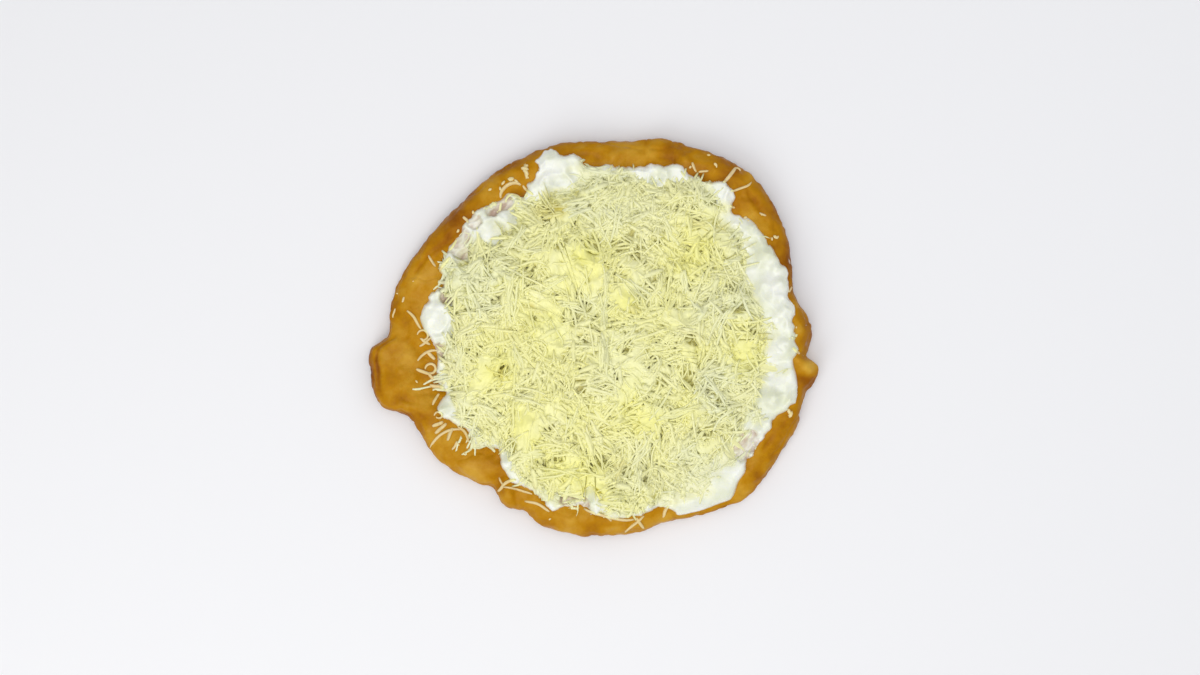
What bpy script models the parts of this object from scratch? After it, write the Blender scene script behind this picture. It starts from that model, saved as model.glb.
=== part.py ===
"""Langos: a deep-fried flatbread, spread with sour cream and heaped with grated cheese.

Metres, +Z up. The bread lies flat, toppings up. The origin is on the surface that it rests on, under the middle
of its outline. +X runs along its length, from the blunt tip on the left to the small knob on the right.
"""

import math

import bmesh
import bpy
import numpy as np
from mathutils import Vector

# A lobed outline is an oval with bulges: mean radius, shift of its middle along +X and half the oval's stretch.
# Each lobe is (direction in degrees, half-width in degrees, bulge in metres), and a notch bulges inwards.
BREAD_OVAL = (0.1006, 0.0015, 0.0026)
BREAD_LOBES = (
    (2, 5, 0.0045),
    (14, 7, -0.0035),
    (47, 24, 0.0118),
    (71, 6, 0.0024),
    (101, 9, 0.0014),
    (139, 21, -0.0042),
    (168, 13, 0.0026),
    (184.5, 3, 0.0078),
    (191, 6, 0.0120),
    (198, 3.5, 0.0060),
    (206, 8, -0.0012),
    (232, 11, -0.0050),
    (236, 3, -0.0050),
    (248, 3.5, -0.0048),
    (267, 4, 0.0012),
    (278, 10, 0.0013),
    (291, 4, -0.0015),
    (316, 15, 0.0088),
    (337, 9, 0.0055),
    (345, 3, 0.0015),
    (351.5, 3.4, 0.0098),
)
CREAM_OVAL = (0.0888, 0.0095, 0.0025)
CREAM_LOBES = (
    (17, 4, 0.0020),
    (33, 4, 0.0025),
    (42.5, 4, -0.0030),
    (50, 6, 0.0065),
    (65, 7, 0.0042),
    (80, 6, -0.0020),
    (97, 3, 0.0070),
    (105, 5.5, 0.0140),
    (116.5, 2.4, -0.0066),
    (131, 7, 0.0040),
    (141, 7, 0.0030),
    (152, 6, 0.0055),
    (172, 7, 0.0060),
    (185, 4, -0.0026),
    (207, 4.5, 0.0046),
    (217, 6, -0.0045),
    (229, 4, -0.0110),
    (236, 4, -0.0040),
    (258, 8, 0.0030),
    (281, 8, 0.0040),
    (297, 3.5, 0.0085),
    (304, 5, 0.0090),
    (310.5, 3.4, 0.0090),
    (317, 5, 0.0045),
    (344, 6, 0.0045),
    (353.5, 3, -0.0020),
)
CHEESE_OVAL = (0.0800, 0.0035, 0.0005)
CHEESE_LOBES = (
    (52, 16, 0.0105),
    (103, 10, -0.0060),
    (127, 9, -0.0110),
    (155, 7, 0.0030),
    (173, 7, -0.0060),
    (207, 4, 0.0030),
    (232, 6, -0.0090),
    (283, 10, 0.0080),
    (325, 12, 0.0025),
)

# The bread's section, from its outer edge inwards.
EDGE_HEIGHT = 0.0072  # where the side of the rim stands furthest out
RIM_CREST = 0.0162
RIM_WAVES = ((3, 1.1, 0.0014), (5, 2.6, 0.0009), (8, 0.4, 0.0007))  # (waves round the rim, phase, height)
EDGE_ROUND = 0.0090  # the rim is round over this inset above
UNDER_ROUND = 0.0120  # and over this one below
RIM_SLOPE = 0.0300  # from the crest down to the floor under the toppings
BREAD_FLOOR = 0.0108
FLOOR_SWELL = 0.0005
FLOOR_SWELL_LENGTH = 0.0150
# Air bubbles and folds of the rim: (direction in degrees, inset of the middle, radius, height).
BUBBLES = (
    (6, 0.0060, 0.0080, 0.0010),
    (28, 0.0070, 0.0090, 0.0012),
    (58, 0.0085, 0.0120, 0.0014),
    (83, 0.0070, 0.0100, 0.0011),
    (162, 0.0120, 0.0120, 0.0017),
    (187, 0.0040, 0.0050, 0.0018),
    (193, 0.0160, 0.0110, 0.0016),
    (206, 0.0110, 0.0090, 0.0014),
    (226, 0.0080, 0.0100, 0.0013),
    (240.5, 0.0065, 0.0070, 0.0020),
    (262, 0.0060, 0.0090, 0.0012),
    (318, 0.0080, 0.0110, 0.0013),
    (333, 0.0075, 0.0080, 0.0014),
    (351.5, 0.0065, 0.0065, 0.0020),
)
# Creases between them: (direction in degrees, inset, length round the rim in degrees, width, depth).
CREASES = (
    (151, 0.0075, 7, 0.0035, 0.0014),
    (190, 0.0085, 6, 0.0035, 0.0018),
    (236, 0.0060, 3, 0.0060, 0.0016),
    (346, 0.0060, 3, 0.0045, 0.0014),
)

CREAM_THICKNESS = 0.0030
CREAM_SWELL = 0.0007
CREAM_SWELL_LENGTH = 0.0110
CREAM_EDGE_ROUND = 0.0035
CREAM_OVERHANG_LIMIT = 0.0024  # the cream stops this far inside the bread's edge

HEAP_EDGE = 0.0026
HEAP_RISE = 0.0098
HEAP_LUMP = 0.0009
HEAP_LUMP_LENGTH = 0.0052
HEAP_EDGE_ROUND = 0.0040
HEAP_INSET = 0.0045  # the heap's core stays this far inside the cream's edge

FACE_GAP = 0.0004  # between one piece and the piece that it lies on

SHRED_WIDTH = 0.0019
SHRED_THICKNESS = 0.0018
SHRED_LENGTHS = (0.012, 0.024)
SHRED_BEND = 1.1  # most that a shred turns from end to end, in radians
SHRED_SEGMENTS = 3
SHRED_SUNK = 0.0007
SHRED_COUNT = 90
STRAY_CLEARANCE = 0.0007  # under a stray shred that hangs past the heap
# Shreds that hang out over the rim: (x, y, heading in degrees, length, turn in radians), placed by their inner end.
STRAYS = (
    (0.060, 0.073, 52, 0.018, 0.1),
    (0.066, 0.069, 28, 0.016, 0.3),
    (0.044, 0.078, 68, 0.013, -0.5),
    (0.090, -0.004, -38, 0.016, 0.4),
    (0.090, 0.020, 30, 0.014, 0.4),
    (0.034, -0.079, -105, 0.012, 0.2),
    (0.018, -0.082, -68, 0.016, 0.2),
    (0.026, -0.086, -142, 0.017, 0.2),
    (-0.008, -0.082, -38, 0.020, 0.9),
    (-0.037, -0.068, -140, 0.017, 0.6),
    (-0.060, -0.044, 160, 0.024, 1.0),
    (-0.064, -0.046, -118, 0.012, -0.3),
    (-0.074, -0.020, 162, 0.015, 0.2),
    (-0.075, -0.010, 200, 0.013, 0.5),
    (-0.075, -0.032, 190, 0.012, -0.4),
    (-0.080, 0.000, 125, 0.016, 0.1),
    (-0.070, 0.040, 150, 0.012, 0.7),
    (-0.040, 0.064, 112, 0.014, 0.9),
    (-0.006, 0.080, 60, 0.012, 0.8),
    (0.074, 0.056, 44, 0.011, -0.3),
)
RANDOM_SEED = 11

GOLDEN_ANGLE = math.pi * (3 - math.sqrt(5))
FINE_SPOKES = 144  # points round the bread's edge


def clear_scene():
    for old in list(bpy.data.objects):
        bpy.data.objects.remove(old)


def smooth_step(share):
    share = np.clip(share, 0, 1)
    return share * share * (3 - 2 * share)


def quarter_round(share):
    """Height of a quarter circle, from 0 at its foot to 1 at its top, share of the way in."""
    return np.sqrt(1 - (1 - np.clip(share, 0, 1)) ** 2)


def degrees_between(theta, direction):
    return (np.degrees(theta) - direction + 180) % 360 - 180


def lobed_radius(theta, oval, lobes):
    mean, shift, stretch = oval
    radius = mean + shift * np.cos(theta) + stretch * np.cos(2 * theta)
    for direction, half_width, bulge in lobes:
        radius = radius + bulge * np.exp(-((degrees_between(theta, direction) / half_width) ** 2))
    return radius


def bread_radius(theta):
    return lobed_radius(theta, BREAD_OVAL, BREAD_LOBES)


def cream_radius(theta):
    return np.minimum(
        lobed_radius(theta, CREAM_OVAL, CREAM_LOBES), bread_radius(theta) - CREAM_OVERHANG_LIMIT
    )


def heap_radius(theta):
    return np.minimum(lobed_radius(theta, CHEESE_OVAL, CHEESE_LOBES), cream_radius(theta) - HEAP_INSET)


def swell(x, y, height, length):
    """A gentle unevenness, from two crossing waves that don't line up."""
    return height * (np.sin(x / length + 0.7) * np.cos(y / (1.3 * length)) + np.sin((x - 1.7 * y) / (1.9 * length)))


def rim_relief(theta, inset):
    """Bubbles and folds of the crust that stand proud, less the creases between them."""
    relief = np.zeros_like(theta + inset)
    edge = bread_radius(theta)
    for direction, middle, radius, height in BUBBLES:
        across = np.radians(degrees_between(theta, direction)) * edge
        away = np.hypot(across, inset - middle) / radius
        relief += height * (1 - smooth_step(away))
    for direction, middle, length, width, depth in CREASES:
        along = degrees_between(theta, direction) / length
        away = np.hypot(along, (inset - middle) / width)
        relief -= depth * np.exp(-(away**2))
    return relief


def bread_top(theta, inset):
    """Height of the bread's upper side, at this inset from its edge."""
    crest = RIM_CREST + sum(height * np.sin(waves * theta + phase) for waves, phase, height in RIM_WAVES)
    radius = bread_radius(theta) - inset
    floor = BREAD_FLOOR + swell(radius * np.cos(theta), radius * np.sin(theta), FLOOR_SWELL, FLOOR_SWELL_LENGTH)
    side = EDGE_HEIGHT + (crest - EDGE_HEIGHT) * quarter_round(inset / EDGE_ROUND)
    inward = smooth_step((inset - EDGE_ROUND) / RIM_SLOPE)
    raised = smooth_step(inset / EDGE_ROUND)
    return side + (floor - crest) * inward + rim_relief(theta, inset) * raised


def bread_under(theta, inset):
    """Height of the bread's underside: rounded near the edge, then flat on the table."""
    return EDGE_HEIGHT * (1 - quarter_round(inset / UNDER_ROUND)) + 0 * theta


def bread_top_at(theta, radius):
    return bread_top(theta, bread_radius(theta) - radius)


def cream_under_at(theta, radius):
    return bread_top_at(theta, radius) + FACE_GAP


def cream_top_at(theta, radius):
    x, y = radius * np.cos(theta), radius * np.sin(theta)
    thickness = CREAM_THICKNESS + swell(x, y, CREAM_SWELL, CREAM_SWELL_LENGTH)
    inset = cream_radius(theta) - radius
    return cream_under_at(theta, radius) + thickness * quarter_round(inset / CREAM_EDGE_ROUND)


def heap_under_at(theta, radius):
    return cream_top_at(theta, radius) + FACE_GAP


def heap_top_at(theta, radius):
    x, y = radius * np.cos(theta), radius * np.sin(theta)
    edge = heap_radius(theta)
    lump = HEAP_LUMP * np.sin(x / HEAP_LUMP_LENGTH) * np.sin(y / HEAP_LUMP_LENGTH + 1.3)
    mound = HEAP_EDGE + HEAP_RISE * (1 - (radius / edge) ** 2) + lump
    return heap_under_at(theta, radius) + mound * quarter_round((edge - radius) / HEAP_EDGE_ROUND)


def ring(spokes, radius_of, height_of):
    """Points of one closed ring: a radius and a height, each a function of the direction."""
    theta = np.arange(spokes) * (2 * math.pi / spokes)
    radius = radius_of(theta)
    return np.column_stack((radius * np.cos(theta), radius * np.sin(theta), height_of(theta, radius)))


def scaled(outline, share):
    return lambda theta: outline(theta) * share


def within(outline, inset):
    return lambda theta: outline(theta) - inset


def between(inner, outer, share):
    return lambda theta: inner(theta) + (outer(theta) - inner(theta)) * share


def rings_at(stations, height_of):
    return [ring(spokes, radius_of, height_of) for spokes, radius_of in stations]


def band(inner, inner_size, outer, outer_size):
    """Triangles between two rings of vertex numbers, of equal size or the outer one with twice as many."""
    faces = []
    for i in range(inner_size):
        j = (i + 1) % inner_size
        if inner_size == outer_size:
            faces.append((inner + i, inner + j, outer + j))
            faces.append((inner + i, outer + j, outer + i))
        else:
            middle, after = 2 * i + 1, (2 * i + 2) % outer_size
            faces.append((inner + i, outer + 2 * i, outer + middle))
            faces.append((inner + i, outer + middle, inner + j))
            faces.append((inner + j, outer + middle, outer + after))
    return faces


def skin(name, rings, flat_base, colour, roughness):
    """A closed body: rings from the middle of its top, out to its edge and in again underneath."""
    points = [tuple(point) for points in rings for point in points]
    faces = []
    start = 0
    for near, far in zip(rings, rings[1:]):
        bands = [(start, len(near)), (start + len(near), len(far))]
        if np.hypot(*near[0, :2]) > np.hypot(*far[0, :2]):
            bands.reverse()
        faces += band(*bands[0], *bands[1])
        start += len(near)
    last = list(range(start, start + len(rings[-1])))
    first = list(range(len(rings[0])))[::-1]
    for loop, closed_flat in ((first, False), (last, flat_base)):
        if closed_flat:
            faces.append(loop[::-1])
            continue
        tip = len(points)
        points.append((0, 0, sum(points[corner][2] for corner in loop) / len(loop)))
        faces += [(b, a, tip) for a, b in zip(loop, loop[1:] + loop[:1])]
    mesh = bpy.data.meshes.new(name)
    mesh.from_pydata(points, [], faces)
    shape = bmesh.new()
    shape.from_mesh(mesh)
    bmesh.ops.recalc_face_normals(shape, faces=shape.faces)
    shape.to_mesh(mesh)
    shape.free()
    mesh.shade_smooth()
    body = bpy.data.objects.new(name, mesh)
    bpy.context.collection.objects.link(body)
    mesh.materials.append(finish(name, colour, roughness))
    return body


def finish(name, colour, roughness):
    material = bpy.data.materials.new(name)
    material.use_nodes = True
    shader = material.node_tree.nodes["Principled BSDF"]
    shader.inputs["Base Color"].default_value = (*colour, 1)
    shader.inputs["Roughness"].default_value = roughness
    shader.inputs["Metallic"].default_value = 0
    return material


def heap_stations():
    """Rings under the heap, which the bread, the cream and the heap share, so that they lie face to face."""
    inner = [(FINE_SPOKES // 4, scaled(heap_radius, 0.30))]
    inner += [(FINE_SPOKES // 2, scaled(heap_radius, share)) for share in (0.56, 0.82, 1)]
    return inner


def cream_stations():
    """Rings between the heap and the cream's edge, which the bread and the cream share."""
    return [(FINE_SPOKES, within(cream_radius, inset)) for inset in (0.0030, 0.0009, 0)]


def make_bread():
    def under_at(theta, radius):
        return bread_under(theta, bread_radius(theta) - radius)

    shoulder = within(bread_radius, 0.0015)
    rim = [(FINE_SPOKES, between(cream_radius, shoulder, share)) for share in (0.25, 0.5, 0.75, 1)]
    rim += [(FINE_SPOKES, bread_radius)]
    base = [(FINE_SPOKES, within(bread_radius, inset)) for inset in (0.0018, 0.0060, UNDER_ROUND)]
    top = rings_at(heap_stations() + cream_stations() + rim, bread_top_at)
    return skin("dough", top + rings_at(base, under_at), True, (0.50, 0.24, 0.035), 0.38)


def make_cream():
    stations = heap_stations() + cream_stations()
    top = rings_at(stations, cream_top_at)
    under = rings_at(stations[::-1], cream_under_at)
    return skin("sour_cream", top + under, False, (0.86, 0.87, 0.74), 0.30)


def make_heap_core():
    spokes = FINE_SPOKES // 2
    shares = [(spokes, scaled(heap_radius, share)) for share in (0.22, 0.40, 0.56, 0.70, 0.82, 0.92)]
    edge = [(spokes, within(heap_radius, inset)) for inset in (0.0028, 0.0008, 0)]
    top = rings_at(shares + edge, heap_top_at)
    under = rings_at(heap_stations()[::-1], heap_under_at)[1:]
    return skin("grated_cheese", top + under, False, (0.80, 0.78, 0.36), 0.50)


def height_over(body, x, y):
    """Height of a body's upper side at this place, or None beside it."""
    above = Vector((x, y, 1))
    hit, place, _, _ = body.ray_cast(above, Vector((0, 0, -1)))
    return place.z if hit else None


def shred_path(x, y, heading, length, turn):
    """Points along a shred that lies flat and turns evenly from end to end."""
    step = length / SHRED_SEGMENTS
    points = [(x, y)]
    for part in range(SHRED_SEGMENTS):
        angle = heading + turn * (part + 0.5) / SHRED_SEGMENTS
        x += step * math.cos(angle)
        y += step * math.sin(angle)
        points.append((x, y))
    return points


def highest_near(body, points, i):
    """Height of a body's upper side about one point of a shred: under its width, and half-way to its neighbours."""
    here = Vector(points[i])
    before, after = Vector(points[max(i - 1, 0)]), Vector(points[min(i + 1, len(points) - 1)])
    along = (after - before).normalized()
    side = Vector((-along.y, along.x)) * (SHRED_WIDTH / 2)
    heights = []
    for middle in (here, (here + before) / 2, (here + after) / 2, here.lerp(before, 0.9), here.lerp(after, 0.9)):
        for spot in (middle, middle + side, middle - side):
            heights.append(height_over(body, spot.x, spot.y))
    return max((height for height in heights if height is not None), default=None)


def laid_heights(points, core, layers_below):
    """Height of each point of a shred: sunk a little into the heap, or clear of what lies below beside it."""
    heights = []
    for i, (x, y) in enumerate(points):
        over_core = height_over(core, x, y)
        clear = [height for height in (highest_near(layer, points, i) for layer in layers_below) if height]
        lowest = max(clear, default=0) + STRAY_CLEARANCE + SHRED_THICKNESS / 2
        if over_core is None:
            heights.append(lowest)
        else:
            heights.append(max(lowest, over_core + SHRED_THICKNESS / 2 - SHRED_SUNK))
    return heights


def make_shred(name, points, heights, home):
    """A strip of cheese: a flat four-sided section carried along its points."""
    shape = bmesh.new()
    sections = []
    for i, ((x, y), z) in enumerate(zip(points, heights)):
        before, after = points[max(i - 1, 0)], points[min(i + 1, len(points) - 1)]
        along = Vector((after[0] - before[0], after[1] - before[1], 0)).normalized()
        side = Vector((-along.y, along.x, 0)) * (SHRED_WIDTH / 2)
        up = Vector((0, 0, SHRED_THICKNESS / 2))
        middle = Vector((x, y, z))
        corners = (side - up, side + up, -side + up, -side - up)
        sections.append([shape.verts.new(middle + corner) for corner in corners])
    for near, far in zip(sections, sections[1:]):
        for i in range(4):
            j = (i + 1) % 4
            shape.faces.new((near[i], near[j], far[j], far[i]))
    shape.faces.new(sections[0])
    shape.faces.new(sections[-1])
    bmesh.ops.recalc_face_normals(shape, faces=shape.faces)
    mesh = bpy.data.meshes.new(name)
    shape.to_mesh(mesh)
    shape.free()
    home.objects.link(bpy.data.objects.new(name, mesh))


def heap_shreds(draw):
    """Places for the shreds that cover the heap: a sunflower spread, so that no patch is bare."""
    for i in range(SHRED_COUNT):
        theta = i * GOLDEN_ANGLE
        reach = math.sqrt((i + 0.5) / SHRED_COUNT)
        radius = reach * float(heap_radius(np.array([theta]))[0])
        heading = draw.uniform(0, 2 * math.pi)
        length = draw.uniform(*SHRED_LENGTHS)
        turn = draw.uniform(-SHRED_BEND, SHRED_BEND)
        x = radius * math.cos(theta) - length / 2 * math.cos(heading + turn / 2)
        y = radius * math.sin(theta) - length / 2 * math.sin(heading + turn / 2)
        yield x, y, heading, length, turn


def largest_body_only(mesh):
    """Drops loose scraps and the inner skins of sealed hollows that fusing leaves."""
    shape = bmesh.new()
    shape.from_mesh(mesh)
    unseen = set(shape.faces)
    bodies = []
    while unseen:
        front = [unseen.pop()]
        reached = list(front)
        while front:
            for edge in front.pop().edges:
                for face in edge.link_faces:
                    if face in unseen:
                        unseen.discard(face)
                        reached.append(face)
                        front.append(face)
        bodies.append(reached)
    bodies.sort(key=len, reverse=True)
    for scrap in bodies[1:]:
        bmesh.ops.delete(shape, geom=scrap, context="FACES")
    shape.to_mesh(mesh)
    shape.free()


def fuse_shreds(core, layers_below):
    """One Boolean union joins every shred to the heap's core, and is applied."""
    draw = np.random.default_rng(RANDOM_SEED)
    shreds = bpy.data.collections.new("shreds")
    bpy.context.scene.collection.children.link(shreds)
    strays = [(x, y, math.radians(heading), length, turn) for x, y, heading, length, turn in STRAYS]
    for number, place in enumerate([*heap_shreds(draw), *strays]):
        points = shred_path(*place)
        make_shred(f"shred_{number}", points, laid_heights(points, core, layers_below), shreds)
    union = core.modifiers.new("fused shreds", "BOOLEAN")
    union.operation = "UNION"
    union.solver = "EXACT"
    union.operand_type = "COLLECTION"
    union.collection = shreds
    bpy.context.view_layer.update()
    fused = bpy.data.meshes.new_from_object(core.evaluated_get(bpy.context.evaluated_depsgraph_get()))
    core.modifiers.clear()
    core.data = fused
    for shred in list(shreds.objects):
        bpy.data.objects.remove(shred)
    bpy.data.collections.remove(shreds)
    largest_body_only(fused)


def centre_on_origin(bodies):
    """Moves the whole langos so that the origin is under the middle of the bread's outline."""
    outline = ring(FINE_SPOKES, bread_radius, lambda theta, radius: 0 * theta)
    middle = (outline.max(axis=0) + outline.min(axis=0)) / 2
    for body in bodies:
        body.location = Vector((-middle[0], -middle[1], 0))


def main():
    clear_scene()
    bread = make_bread()
    cream = make_cream()
    heap = make_heap_core()
    bpy.context.view_layer.update()
    fuse_shreds(heap, (bread, cream))
    centre_on_origin((bread, cream, heap))


main()
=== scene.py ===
# Langos: the finish of the fried bread, the sour cream and the grated cheese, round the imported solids.
# Lengths are in metres and angles in radians, except where a setting says millimetres or degrees.
import math

import bpy
import numpy as np
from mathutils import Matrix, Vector
from mathutils.bvhtree import BVHTree


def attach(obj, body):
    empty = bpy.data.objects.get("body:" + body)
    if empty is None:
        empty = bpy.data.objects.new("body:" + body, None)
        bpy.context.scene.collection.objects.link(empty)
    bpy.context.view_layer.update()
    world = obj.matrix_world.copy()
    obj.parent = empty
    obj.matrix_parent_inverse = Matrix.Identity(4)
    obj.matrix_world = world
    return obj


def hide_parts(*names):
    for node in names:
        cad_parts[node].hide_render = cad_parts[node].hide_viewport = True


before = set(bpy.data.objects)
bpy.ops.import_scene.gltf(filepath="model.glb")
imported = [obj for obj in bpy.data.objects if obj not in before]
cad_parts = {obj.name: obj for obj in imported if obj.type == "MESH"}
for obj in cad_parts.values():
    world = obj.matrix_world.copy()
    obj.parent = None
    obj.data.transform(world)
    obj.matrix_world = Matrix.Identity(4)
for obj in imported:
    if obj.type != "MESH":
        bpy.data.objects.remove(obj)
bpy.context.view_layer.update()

fullTurn = 2 * math.pi
tiny = 1e-12  # keeps a division from 0
outlineSteps = 1440  # equal steps of an outline round the bread


# Shapes and numbers that several pieces use

def smoothStep(share):
    # 0 up to 0, 1 from 1 on, and 3s^2 - 2s^3 between
    share = np.clip(share, 0, 1)
    return share * share * (3 - 2 * share)


def fade(value, start, span):
    # a smooth step of the value, from 0 at the start to 1 a span further on
    return smoothStep((value - start) / span)


def quarterRound(share):
    # height of a quarter circle: the square root of 1 - (1 - s)^2
    return np.sqrt(1 - (1 - np.clip(share, 0, 1)) ** 2)


# large odd numbers that spread whole numbers evenly, and the largest result
lattice = {
    "x": 374761393, "y": 668265263, "z": 1442695041, "seed": 1013904223, "again": 1274126177, "top": 65535,
}


def latticeValue(ix, iy, iz, seed):
    # a number from 0 to 1 for each whole-number place: its coordinates, multiplied, shifted and mixed
    mixed = ix * lattice["x"] + iy * lattice["y"] + iz * lattice["z"] + seed * lattice["seed"]
    mixed = (mixed ^ (mixed >> 13)) * lattice["again"]
    return ((mixed ^ (mixed >> 16)) & lattice["top"]) / lattice["top"]


def smoothNoise(x, y, z, size, seed):
    # -1 to 1: the values of the 8 lattice places round a point, weighted by a smooth step along each axis
    px, py, pz = x / size, y / size, z / size
    ix, iy, iz = (np.floor(p).astype(np.int64) for p in (px, py, pz))
    fx, fy, fz = smoothStep(px - ix), smoothStep(py - iy), smoothStep(pz - iz)
    total = 0
    for dx in (0, 1):
        for dy in (0, 1):
            for dz in (0, 1):
                weight = (fx if dx else 1 - fx) * (fy if dy else 1 - fy) * (fz if dz else 1 - fz)
                total = total + weight * latticeValue(ix + dx, iy + dy, iz + dz, seed)
    return 2 * total - 1


octaveTurn = math.radians(37)


def fractalNoise(x, y, z, size, octaves, seed):
    # smooth noise plus the same at half the size and height, and so on, each turned by one more angle
    total, height, whole = 0, 1, 0
    c, s = math.cos(octaveTurn), math.sin(octaveTurn)
    for octave in range(octaves):
        total = total + height * smoothNoise(x, y, z, size, seed + octave)
        whole += height
        x, y = c * x - s * y, s * x + c * y
        size, height = size / 2, height / 2
    return total / whole


def levelNoise(x, y, size, octaves, seed):
    # fractal noise on the level through 0
    return fractalNoise(x, y, 0 * x, size, octaves, seed)


blister = {"radius": 0.35, "radiusSpread": 0.45, "roundness": 1.3}  # radii in cells of the lattice


def blisterField(x, y, z, size, share, seed):
    # domes, (1 - (d / r)^2)^roundness, about one jittered point in each cell of a lattice that has one,
    # which is the given share of them
    ix, iy, iz = (np.floor(p / size).astype(np.int64) for p in (x, y, z))
    dome = np.zeros(np.broadcast(x, y, z).shape)
    for dx in (-1, 0, 1):
        for dy in (-1, 0, 1):
            for dz in (-1, 0, 1):
                cell = ix + dx, iy + dy, iz + dz
                middle = [(c + latticeValue(*cell, seed + k)) * size for k, c in enumerate(cell, start=1)]
                radius = size * (blister["radius"] + blister["radiusSpread"] * latticeValue(*cell, seed + 4))
                away = ((x - middle[0]) ** 2 + (y - middle[1]) ** 2 + (z - middle[2]) ** 2) / radius**2
                live = latticeValue(*cell, seed + 5) < share
                dome = np.maximum(dome, np.where(live, np.clip(1 - away, 0, 1) ** blister["roundness"], 0))
    return dome


def nearSpots(x, y, spots):
    # the highest of (1 - (d / r)^2)^2 over the spots: 1 in the middle of one, 0 from its radius on
    near = 0
    for middleX, middleY, radius in spots:
        away = ((x - middleX) ** 2 + (y - middleY) ** 2) / radius**2
        near = np.maximum(near, np.clip(1 - away, 0, 1) ** 2)
    return near


def swelling(x, y, length):
    # slow waves, -2 to 2: sin(x / l + 0.7) times cos(y / 1.3 l), plus sin((x - 1.7 y) / 1.9 l)
    return np.sin(x / length + 0.7) * np.cos(y / (1.3 * length)) + np.sin((x - 1.7 * y) / (1.9 * length))


def bell(x):
    # e to the power of less x squared
    return np.exp(-(x**2))


def softened(grid, passes):
    # each pass replaces a value by a quarter of each neighbour and half of itself, along both axes
    for _ in range(passes):
        for axis in (0, 1):
            size = grid.shape[axis]
            before = np.take(grid, np.maximum(np.arange(size) - 1, 0), axis)
            after = np.take(grid, np.minimum(np.arange(size) + 1, size - 1), axis)
            grid = before / 4 + grid / 2 + after / 4
    return grid


def directions(count):
    # so many equal steps round a full turn
    return np.arange(count) * fullTurn / count


def fromMiddle(radius, theta):
    # x and y at a distance from the middle in a direction
    return radius * np.cos(theta), radius * np.sin(theta)


# Meshes from arrays

noTriangles = np.zeros((0, 3), int)


def meshFrom(name, vertices, quads, triangles, smooth=True):
    # quads and triangles are rows of vertex numbers, anticlockwise as seen from outside
    mesh = bpy.data.meshes.new(name)
    mesh.vertices.add(len(vertices))
    mesh.vertices.foreach_set("co", np.ascontiguousarray(vertices, np.float32).ravel())
    corners = np.concatenate([quads.ravel(), triangles.ravel()]).astype(np.int32)
    starts = np.concatenate([
        np.arange(len(quads)) * 4, len(quads) * 4 + np.arange(len(triangles)) * 3
    ]).astype(np.int32)
    mesh.loops.add(len(corners))
    mesh.loops.foreach_set("vertex_index", corners)
    mesh.polygons.add(len(starts))
    mesh.polygons.foreach_set("loop_start", starts)
    mesh.update(calc_edges=True)
    mesh.validate()
    if smooth:
        mesh.shade_smooth()
    return mesh


def ringQuads(count, rows, turns):
    # vertex numbers of the quads between neighbouring rings, for so many skins one after another
    skin, row, turn = np.meshgrid(np.arange(count), np.arange(rows - 1), np.arange(turns), indexing="ij")
    start, after = (skin * rows + row) * turns, (turn + 1) % turns
    quads = np.stack([start + turn, start + turns + turn, start + turns + after, start + after], -1)
    return quads.reshape(-1, 4)


def closedSkin(name, rings):
    # rings[row, direction] runs from the middle of the top, over the edge, to the middle underneath;
    # quads join neighbouring rings, and a fan of triangles closes each end at the mean of its ring
    rows, turns = rings.shape[:2]
    tips = np.stack([rings[0].mean(0), rings[-1].mean(0)])
    around = np.arange(turns)
    following = (around + 1) % turns
    first = np.stack([np.full(turns, rows * turns), around, following], -1)
    base = (rows - 1) * turns
    last = np.stack([np.full(turns, rows * turns + 1), base + following, base + around], -1)
    vertices = np.concatenate([rings.reshape(-1, 3), tips])
    return meshFrom(name, vertices, ringQuads(1, rows, turns), np.concatenate([first, last]))


def outwardNormals(rings):
    # the cross product of the way down a column and the way round a row
    down = np.gradient(rings, axis=0)
    along = np.roll(rings, -1, axis=1) - np.roll(rings, 1, axis=1)
    normal = np.cross(down, along)
    return normal / np.maximum(np.linalg.norm(normal, axis=-1, keepdims=True), tiny)


def paint(mesh, name, values):
    # one number for each vertex, for a material to read; the two tips of a skin get the mean;
    # painting the same name again replaces it
    missing = len(mesh.vertices) - len(values)
    values = np.concatenate([values, np.full(missing, values.mean())])
    attribute = mesh.attributes.get(name) or mesh.attributes.new(name, "FLOAT", "POINT")
    attribute.data.foreach_set("value", values.astype(np.float32))


def addPiece(mesh, material, node):
    # the mesh as an object that rides on root, wears the slot and replaces the node
    mesh.materials.append(material)
    piece = bpy.data.objects.new(mesh.name, mesh)
    bpy.context.scene.collection.objects.link(piece)
    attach(piece, "root")
    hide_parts(node)


# Materials

class Wire:
    # a number or colour in a material; reckoning with it adds Math nodes
    def __init__(self, recipe, socket):
        self.recipe = recipe
        self.socket = socket

    def reckon(self, operation, *values):
        return self.recipe.node("ShaderNodeMath", {"operation": operation}, dict(enumerate(values)))

    def __add__(self, other):
        return self.reckon("ADD", self, other)

    def __sub__(self, other):
        return self.reckon("SUBTRACT", self, other)

    def __rsub__(self, other):
        return self.reckon("SUBTRACT", other, self)

    def __mul__(self, other):
        return self.reckon("MULTIPLY", self, other)

    __rmul__ = __mul__


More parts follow.
